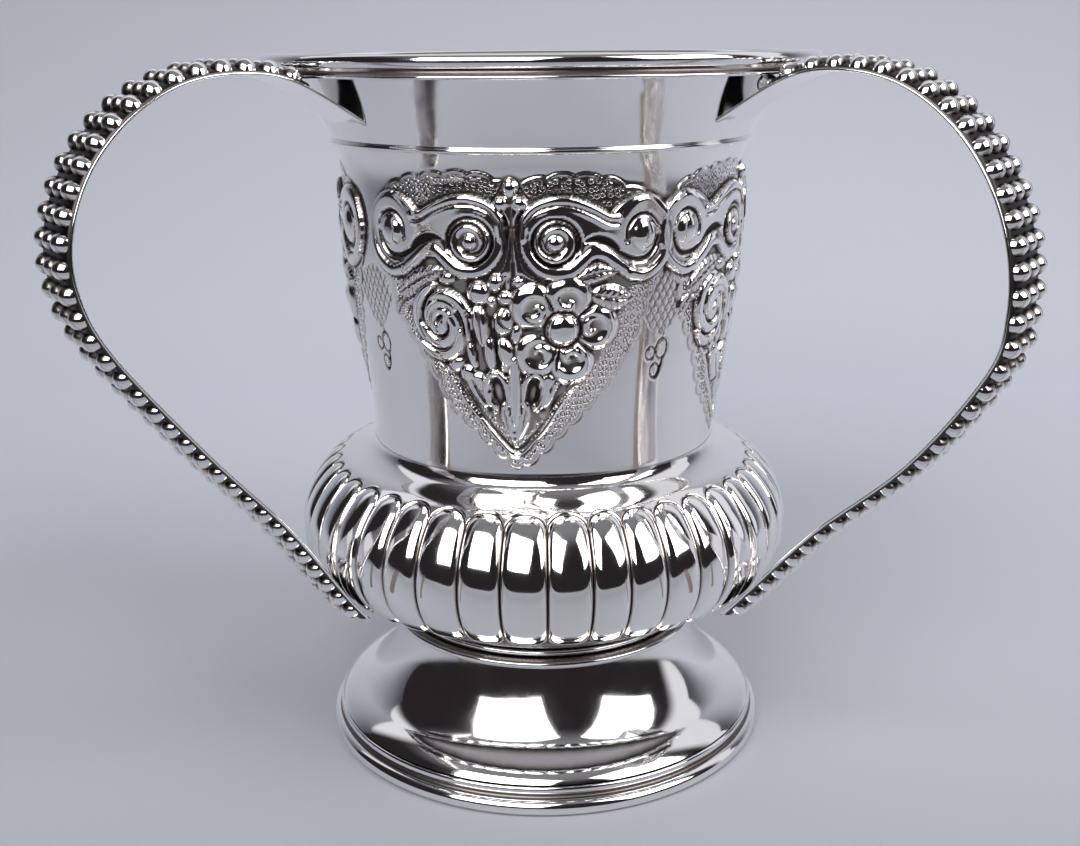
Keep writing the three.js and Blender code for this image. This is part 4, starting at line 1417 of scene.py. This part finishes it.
@dataclass
class Rim:
    """The moulding round the lip: a fillet, a cove and a roll.

    Args:
        segments: number of facets round the axis.
        roll, roll_radius: radius and height of the roll's middle, and how thick it is.
        bottom: height of the moulding's lower edge.
    """

    segments: int = 320
    roll: Pair = (49.05, 129.0)
    roll_radius: float = 1.05
    bottom: float = 126.35

    def build(self, bench: Bench) -> None:
        """Makes the rim.

        Args:
            bench: where its pieces are made.
        """
        outline = np.vstack([
            [(45.35, self.bottom)],
            arc((48.55, self.bottom + 0.32), 0.32, -90, 40, 7),
            bezier([(48.72, 126.95), (48.30, 127.15), (48.32, 127.65)], 6),
            arc(self.roll, self.roll_radius, -130, 160, 26),
            [(47.55, 129.1), (46.9, 128.9)],
        ])
        dark = 0.75 * np.exp(-((outline[:, 1] - 127.35) / 0.45) ** 2) * (outline[:, 0] < 48.8)
        bench.make("rim_moulding_turned", lathe(outline, self.segments, dark), TURNED_SILVER, "rim_moulding")


# The handles

class Side(Enum):
    """The two handles, each bent by hand in its own curve."""

    LEFT = -1
    RIGHT = 1


BENDS: dict[Side, tuple[Pair, ...]] = {
    Side.LEFT: ((0.017, 0.261), (0.033, 0.495), (0.088, 0.709), (0.177, 0.883), (0.286, 0.979),
                (0.388, 0.977), (0.499, 0.877), (0.703, 0.565), (0.888, 0.249), (1.07, 0.0), (1.147, -0.127)),
    Side.RIGHT: ((0.019, 0.266), (0.043, 0.503), (0.109, 0.713), (0.202, 0.87), (0.312, 0.968),
                 (0.426, 0.997), (0.533, 0.95), (0.723, 0.684), (0.895, 0.317), (1.067, 0.013),
                 (1.144, -0.122)),
}


@dataclass
class Handle:
    """A strap with three lines of beads along its outer face.

    Args:
        side: which handle.
        beaker: what its top is soldered to.
        bulb: what its foot is soldered to.
        neck_joint: height at which the strap meets the neck.
        upper, lower: radius and height of the ends of the straight line that its bend is measured from.
        swing: how far it is turned from its side to the front, in degrees.
        reach: how far it stands out of that line.
        width, thickness, edging: of the strap, and the radius of its rounded edges.
        strap_face: how far out of the centre line the strap's outer face lies.
        strip_width: width of the strip that carries the beads.
        beading_from, beading_to: how far from the line's two ends the strip stops.
        tip_short: how far from the line's end the strap stops.
        row_pitch, line_pitch: distances between the beads along and across the strap.
        bead_sizes: radius of the beads in each line.
        bead_share: how long a bead is along the strap, as a share of its width.
    """

    side: Side
    beaker: Beaker
    bulb: Bulb
    neck_joint: float = 118.97
    upper: Pair = (50.1, 129.0)
    lower: Pair = (47.1, 43.0)
    swing: float = 36.0
    reach: float = 40.0
    width: float = 12.6
    thickness: float = 0.8
    edging: float = 0.18
    strap_face: float = 0.06
    strip_width: float = 12.2
    beading_from: float = 12.6
    beading_to: float = 4.2
    tip_short: float = 2.9
    row_pitch: float = 3.75
    line_pitch: float = 4.12
    bead_sizes: tuple[float, float, float] = (2.04, 1.98, 2.04)
    bead_share: float = 0.86

    def centre_line(self) -> Array:
        """Samples the strap's centre line closely.

        Returns:
            (n, 2) of distance from the axis and height.
        """
        joint = (float(self.beaker.wall_radius(self.neck_joint)) - 1.0, self.neck_joint)
        upper, lower = self.upper, self.lower
        free = [(upper[0] + (lower[0] - upper[0]) * down + self.reach * out,
                 upper[1] + (lower[1] - upper[1]) * down) for down, out in BENDS[self.side]]
        return spline([joint, (51.15, 126.0), *free], 0.3)

    def axes(self) -> tuple[Array, Array]:
        """The directions away from the cup and across the strap.

        Returns:
            Two directions of length 1.
        """
        s = math.radians(self.swing)
        away = np.array([self.side.value * math.cos(s), -math.sin(s), 0.0])
        return away, np.cross(away, [0.0, 0.0, 1.0])

    def place(self, line: Array, tangent: Array, offset: Array, across: Array) -> Array:
        """Points beside the centre line.

        Args:
            line, tangent: samples of the line and their directions.
            offset: how far out of the line's outer side.
            across: how far towards the strap's edge.

        Returns:
            Points round the cup's axis.
        """
        away, wide = self.axes()
        r = line[..., 0] - tangent[..., 1] * offset
        z = line[..., 1] + tangent[..., 0] * offset
        return r[..., None] * away + across[..., None] * wide + z[..., None] * np.array([0.0, 0.0, 1.0])

    def along(self, stations: Array) -> tuple[Array, Array]:
        """Points and directions at given lengths along the line.

        Args:
            stations: the lengths.

        Returns:
            Two (n, 2) arrays.
        """
        line = self.centre_line()
        span = spans(line)
        at, ahead, behind = (np.stack([np.interp(stations + off, span, v) for v in line.T], -1)
                             for off in (0.0, 0.4, -0.4))
        direction = ahead - behind
        return at, direction / np.linalg.norm(direction, axis=-1)[..., None]

    def swept(self, stations: Array, section: Array, recess: Array) -> Shell:
        """A section swept along the line, closed at both ends.

        Args:
            stations: lengths along the line.
            section: (n, 2) of offset and across.
            recess: darkness of each of its points.

        Returns:
            The closed shell.
        """
        at, direction = self.along(stations)
        n, m = len(stations), len(section)
        offset, across = (np.broadcast_to(v, (n, m)) for v in section.T)
        points = self.place(at[:, None, :], direction[:, None, :], offset, across)
        quads = grid(n, m)
        caps = [np.arange(m)[::-1][None, :], (np.arange(m) + (n - 1) * m)[None, :]]
        if self.side is Side.LEFT:
            quads, caps = quads[:, ::-1], [c[:, ::-1] for c in caps]
        return Shell(points.reshape(-1, 3), [quads, *caps], np.tile(recess, n))

    def seat(self, shell: Shell) -> None:
        """Draws whatever would reach into the neck or the bulb back to just under their surface.

        Args:
            shell: the shell, changed in place.
        """
        x, y, z = shell.points.T
        side = self.bulb.side()
        limit = np.where(z > 100, self.beaker.wall_radius(z) - 0.35,
                         np.interp(z, side[:, 1], side[:, 0], left=0.0) + 0.45)
        shell.points[:, :2] *= np.maximum(1.0, limit / np.maximum(np.hypot(x, y), 1e-6))[:, None]

    def build(self, bench: Bench) -> None:
        """Makes the strap and its beading.

        Args:
            bench: where its pieces are made.
        """
        name = self.side.name.lower()
        length = line_length(self.centre_line())
        half, edging = self.thickness / 2, self.edging
        low, high, w = -half + edging, self.strap_face - edging, self.width / 2 - edging
        corners = [oval(offset, across, edging, edging, np.radians(np.linspace(start, start + 90, 5)))
                   for offset, across, start in ((high, w, 0), (low, w, 90), (low, -w, 180), (high, -w, 270))]
        flat = np.linspace(-0.8, 0.8, 5)
        section = np.array(corners[0] + corners[1] + [(-half, -w * q) for q in flat]
                           + corners[2] + corners[3] + [(self.strap_face, w * q) for q in flat])
        strap = self.swept(np.linspace(0.0, length - self.tip_short, 190), section, np.zeros(len(section)))
        self.seat(strap)
        bench.make(name + "_handle_strap_forged", strap, STRAP_SILVER, name + "_handle_strap")

        start, stop = self.beading_from, length - self.beading_to
        rows = int((stop - start) / self.row_pitch)
        edge = self.strip_width / 2
        strip = np.array([(-0.04, edge), (-0.04, -edge), (0.22, -edge), (0.50, -edge + 0.5),
                          (0.78, -edge + 1.4), (0.78, 0.0), (0.78, edge - 1.4), (0.50, edge - 0.5),
                          (0.22, edge)])[::-1]
        # oxide and painted shade on the strip between and under the beads, a little lighter on its edges
        shade = np.where(np.abs(strip[:, 1]) > edge - 0.1, 0.80, 0.95)
        parts = [self.swept(np.linspace(start - 0.6, stop + 0.6, 150), strip, shade)]
        stations = start + (stop - start) * (np.arange(rows) + 0.5) / rows
        for line, size in zip((1, 0, -1), self.bead_sizes):
            parts += [self.bead(float(s), line * self.line_pitch, size, 2.24 - size, line) for s in stations]
        parts.append(self.bead(start - 2.6, 3.3, 2.0, 0.5, 1))
        beading = Shell.join(parts)
        self.seat(beading)
        bench.make(name + "_handle_beading_cast", beading, BEAD_SILVER, name + "_handle_beading",
                   math.radians(80))

    def bead(self, station: float, across: float, size: float, face: float, free: int) -> Shell:
        """One round bead standing on the strip.

        Args:
            station: length along the line.
            across: how far towards the strap's edge.
            size: its radius.
            face: the offset of its widest ring.
            free: 1 or -1 for the edge that its open side looks to, which has no neighbour and is kept light,
                and 0 where it has neighbours all round.

        Returns:
            The closed bead.
        """
        (at,), ((run, rise),) = self.along(np.array([station]))
        away, wide = self.axes()
        up = np.array([0.0, 0.0, 1.0])
        out = -rise * away + run * up
        tangent = run * away + rise * up
        centre = at[0] * away + at[1] * up + out * face + wide * across
        tilts = np.radians([4, 12, 21, 31, 43, 55, 67, 79])
        rows, sides = len(tilts), 20
        ring = np.linspace(0.0, TURN, sides, endpoint=False)
        spin = 1.0 if np.dot(np.cross(tangent, wide), out) > 0 else -1.0
        level = (self.bead_share * np.cos(ring)[None, :, None] * tangent
                 + spin * np.sin(ring)[None, :, None] * wide)
        unit = np.cos(tilts)[:, None, None] * level + np.sin(tilts)[:, None, None] * out
        points = np.vstack([(centre + size * unit).reshape(-1, 3), centre + size * out, centre])
        count = rows * sides
        faces = [grid(rows, sides), cap(count - sides, sides, count, False), cap(0, sides, count + 1, True)]
        # darker towards the strip: oxide and painted shade where the beads crowd each other; the side with no
        # neighbour is kept light
        oxide_and_shade = np.interp(np.degrees(tilts), [4, 24, 38, 56], [1.0, 1.0, 0.55, 0.0])[:, None]
        clean_and_unshaded = smoothstep((free * spin * np.sin(ring)[None, :] - 0.50) / 0.35)
        return Shell(points, faces, np.concatenate([(oxide_and_shade * (1.0 - 0.92 * clean_and_unshaded)).ravel(), [0.0, 1.0]]))


# Stage and camera

@dataclass(frozen=True)
class Paper:
    """A matt pale surface of the stage, which can carry painted shade in front of the cup and high up behind
    it.

    Args:
        name: name of the material.
        colour: its colour.
        front: its share of that colour in front of the cup, a painted shadow on the floor there.
        crown: its share of that colour high up behind the cup, as the camera sees it, a painted shade on the
            upper backdrop.
        depth: from where to where it rises from front to back, in metres.
        climb: from what to what height the crown sets in.
    """

    name: str
    colour: Colour
    front: float = 1.0
    crown: float = 1.0
    depth: Pair = (-0.16, 0.25)
    climb: Pair = (0.02, 0.18)

    def material(self) -> bpy.types.Material:
        """Builds the material, or returns it where it has been built.

        Returns:
            The material.
        """
        if self.name in bpy.data.materials:
            return bpy.data.materials[self.name]
        made, g = Graph.material(self.name)
        _, _, y, z = g.place("Object")
        # painted shade: the floor darker in front of the cup, and the backdrop darker high up where the
        # camera looks at it
        shaded_fore, top = (tuple(c * share for c in self.colour) for share in (self.front, self.crown))
        shaded_tone = g.mix(g.step(y, *self.depth, "LINEAR"), shaded_fore, self.colour)
        high = g.math("MULTIPLY", g.step(z, *self.climb, "LINEAR"), g.camera_ray())
        shader = g.add("ShaderNodeBsdfPrincipled", {
            "Base Color": g.mix(high, shaded_tone, top), "Roughness": 0.9, "Specular IOR Level": 0.1})
        g.add("ShaderNodeOutputMaterial", {"Surface": shader.outputs["BSDF"]})
        return made


@dataclass
class Stage:
    """A pale sheet that curves up behind the cup, soft lamps in front, and a dim room.

    Args:
        sheet, seam: papers of the sheet and of the seams in the table.
        room_dark, room_pale: colours of the room before the cup and behind it.
        front, back: where the sheet begins and ends, in metres.
        half_width, rise, bend: half its width, its height, and the radius of its curve.
        seams: name of each seam, and the azimuths between which it runs out from the cup.
        lamps: name, azimuth and elevation in degrees, distance, size and power of each lamp.
    """

    # the sheet's shares of 0.32 and 0.82 are painted shade in front of the cup and high on the backdrop
    sheet: Paper = Paper("pale_sheet", (0.760, 0.780, 0.860), 0.32, 0.82)
    seam: Paper = Paper("table_seam", (0.16, 0.14, 0.12))
    room_dark: Colour = (0.020, 0.017, 0.019)
    room_pale: Colour = (0.76, 0.77, 0.82)
    front: float = -0.30
    back: float = 0.50
    half_width: float = 1.4
    rise: float = 0.62
    bend: float = 0.25
    seams: tuple[tuple[str, float, float], ...] = (("seam_left", -66.5, -60.0), ("seam_right", 57.0, 62.5))
    lamps: tuple[tuple[str, float, float, float, Pair, float], ...] = (
        ("lamp_left", -25.0, 37.0, 0.62, (0.50, 0.48), 3.7),
        ("lamp_right", 59.0, 36.0, 0.70, (0.46, 0.52), 3.4))

    def surface(self, name: str, points: Sequence[Sequence[float]], faces: Sequence[Sequence[int]],
                paper: Paper) -> bpy.types.Object:
        """A matt surface of the stage.

        Args:
            name: its name.
            points: its corners, in metres.
            faces: the corner numbers of each face.
            paper: what it is covered with.

        Returns:
            The object.
        """
        mesh = bpy.data.meshes.new(name)
        mesh.from_pydata(points, [], faces)
        mesh.materials.append(paper.material())
        made = bpy.data.objects.new(name, mesh)
        bpy.context.scene.collection.objects.link(made)
        return made

    def sweep(self) -> None:
        """The sheet: floor, curve and back in one surface."""
        bend = self.bend
        line = [(self.front, 0.0), (0.0, 0.0), (self.back - bend, 0.0)]
        line += [(self.back - bend + bend * math.sin(a), bend - bend * math.cos(a))
                 for a in np.linspace(0, math.pi / 2, 16)[1:]]
        line.append((self.back, self.rise))
        points = [(x, y, z) for y, z in line for x in (-self.half_width, 0.0, self.half_width)]
        faces = [(i * 3 + j, i * 3 + j + 1, (i + 1) * 3 + j + 1, (i + 1) * 3 + j)
                 for i in range(len(line) - 1) for j in range(2)]
        self.surface("pale_sheet", points, faces, self.sheet).data.shade_smooth()

    def table_seam(self, axis: Vector, name: str, low: float, high: float) -> None:
        """A dark seam in the table that runs out from the cup, seen only in the silver.

        Args:
            axis: where the cup's axis stands.
            name: its name.
            low: azimuth of its left edge, in degrees.
            high: azimuth of its right edge.
        """
        corners = [(axis.x + r * math.sin(math.radians(a)), axis.y - r * math.cos(math.radians(a)), 0.0006)
                   for r, a in ((0.10, low), (0.10, high), (0.9, high), (0.9, low))]
        seam = self.surface(name, corners, [(0, 1, 2, 3)], self.seam)
        seam.visible_camera = seam.visible_shadow = seam.visible_diffuse = False

    def lamp(self, name: str, azimuth: float, elevation: float, distance: float, size: Pair,
             power: float) -> None:
        """A soft rectangular lamp aimed at the cup's middle.

        Args:
            name: name of the lamp.
            azimuth: degrees to the right of the front.
            elevation: degrees over the horizon.
            distance: from the cup's middle, in metres.
            size: width and height, in metres.
            power: in watts.
        """
        a, e = math.radians(azimuth), math.radians(elevation)
        light = bpy.data.lights.new(name, "AREA")
        light.shape = "RECTANGLE"
        light.size, light.size_y = size
        light.energy = power
        made = bpy.data.objects.new(name, light)
        bpy.context.scene.collection.objects.link(made)
        away = Vector((math.sin(a) * math.cos(e), -math.cos(a) * math.cos(e), math.sin(e)))
        made.location = Vector((0.0, 0.0, 0.06)) + away * distance
        made.rotation_euler = away.to_track_quat("Z", "Y").to_euler()

    def room(self) -> None:
        """The room: pale behind and to the sides, dim in front, and pale wherever the camera looks at it."""
        world = bpy.data.worlds.new("room")
        bpy.context.scene.world = world
        world.use_nodes = True
        g = Graph(world.node_tree)
        _, x, y, z = g.place("Generated")
        rear = g.step(g.math("MULTIPLY_ADD", x, 0.18, y), 0.18, 0.34)
        over = g.math("MULTIPLY", g.step(z, 0.70, 0.95), 0.26)
        seen = g.math("MAXIMUM", g.math("MAXIMUM", rear, over), g.camera_ray())
        shader = g.add("ShaderNodeBackground", {"Color": g.mix(seen, self.room_dark, self.room_pale)})
        g.add("ShaderNodeOutputWorld", {"Surface": shader.outputs["Background"]})

    def build(self, axis: Vector) -> None:
        """Sets the whole stage.

        Args:
            axis: where the cup's axis stands.
        """
        self.sweep()
        for seam in self.seams:
            self.table_seam(axis, *seam)
        self.room()
        for lamp in self.lamps:
            self.lamp(*lamp)


@dataclass
class Viewpoint:
    """The photograph's viewpoint, as worked out from the circles of the rim and the foot.

    Args:
        distance: how far before the cup's axis it is, in millimetres.
        height: its height over the table, in millimetres.
        pitch, yaw, roll: how far it looks down, to the right and aslant, in degrees.
        focal_pixels: focal length, in pixels of the photograph.
        frame_width: width of the photograph, in pixels.
        sensor: width of the sensor, in millimetres.
    """

    distance: float = 243.7
    height: float = 131.44
    pitch: float = 16.31
    yaw: float = -0.15
    roll: float = -0.50
    focal_pixels: float = 1298.2
    frame_width: int = 1080
    sensor: float = 36.0

    def build(self, axis: Vector) -> None:
        """Places the camera and makes it the scene's.

        Args:
            axis: where the cup's axis stands.
        """
        data = bpy.data.cameras.new("viewpoint")
        data.sensor_width = self.sensor
        data.lens = self.focal_pixels / self.frame_width * self.sensor
        data.clip_start, data.clip_end = 0.01, 20.0
        camera = bpy.data.objects.new("viewpoint", data)
        bpy.context.scene.collection.objects.link(camera)
        p, y, r = (math.radians(v) for v in (self.pitch, self.yaw, self.roll))
        forward = Vector((math.sin(y) * math.cos(p), math.cos(y) * math.cos(p), -math.sin(p)))
        level = Vector((math.cos(y), -math.sin(y), 0.0))
        over = level.cross(forward)
        right = math.cos(r) * level + math.sin(r) * over
        up = -math.sin(r) * level + math.cos(r) * over
        place = Matrix((right, up, -forward)).transposed().to_4x4()
        place.translation = axis + Vector((0.0, -self.distance, self.height)) * MM
        camera.matrix_world = place
        bpy.context.scene.camera = camera


# Main

def cup_axis() -> Vector:
    """Where the cup's own axis stands in the frame, from the rim's box."""
    low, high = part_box("rim_moulding")
    return Vector(((low.x + high.x) / 2, (low.y + high.y) / 2, 0.0))


def main() -> None:
    """Builds the stage, the viewpoint and every piece in order."""
    logging.basicConfig(level=logging.INFO, format="%(name)s: %(message)s")
    bpy.context.scene.view_settings.view_transform = "Standard"
    axis = cup_axis()
    bench = Bench(axis)
    Viewpoint().build(axis)
    Stage().build(axis)
    Foot().build(bench)
    bulb, beaker = Bulb(), Beaker()
    bulb.build(bench)
    beaker.build(bench)
    Rim().build(bench)
    for side in Side:
        Handle(side, beaker, bulb).build(bench)


if __name__ == "__main__":
    main()
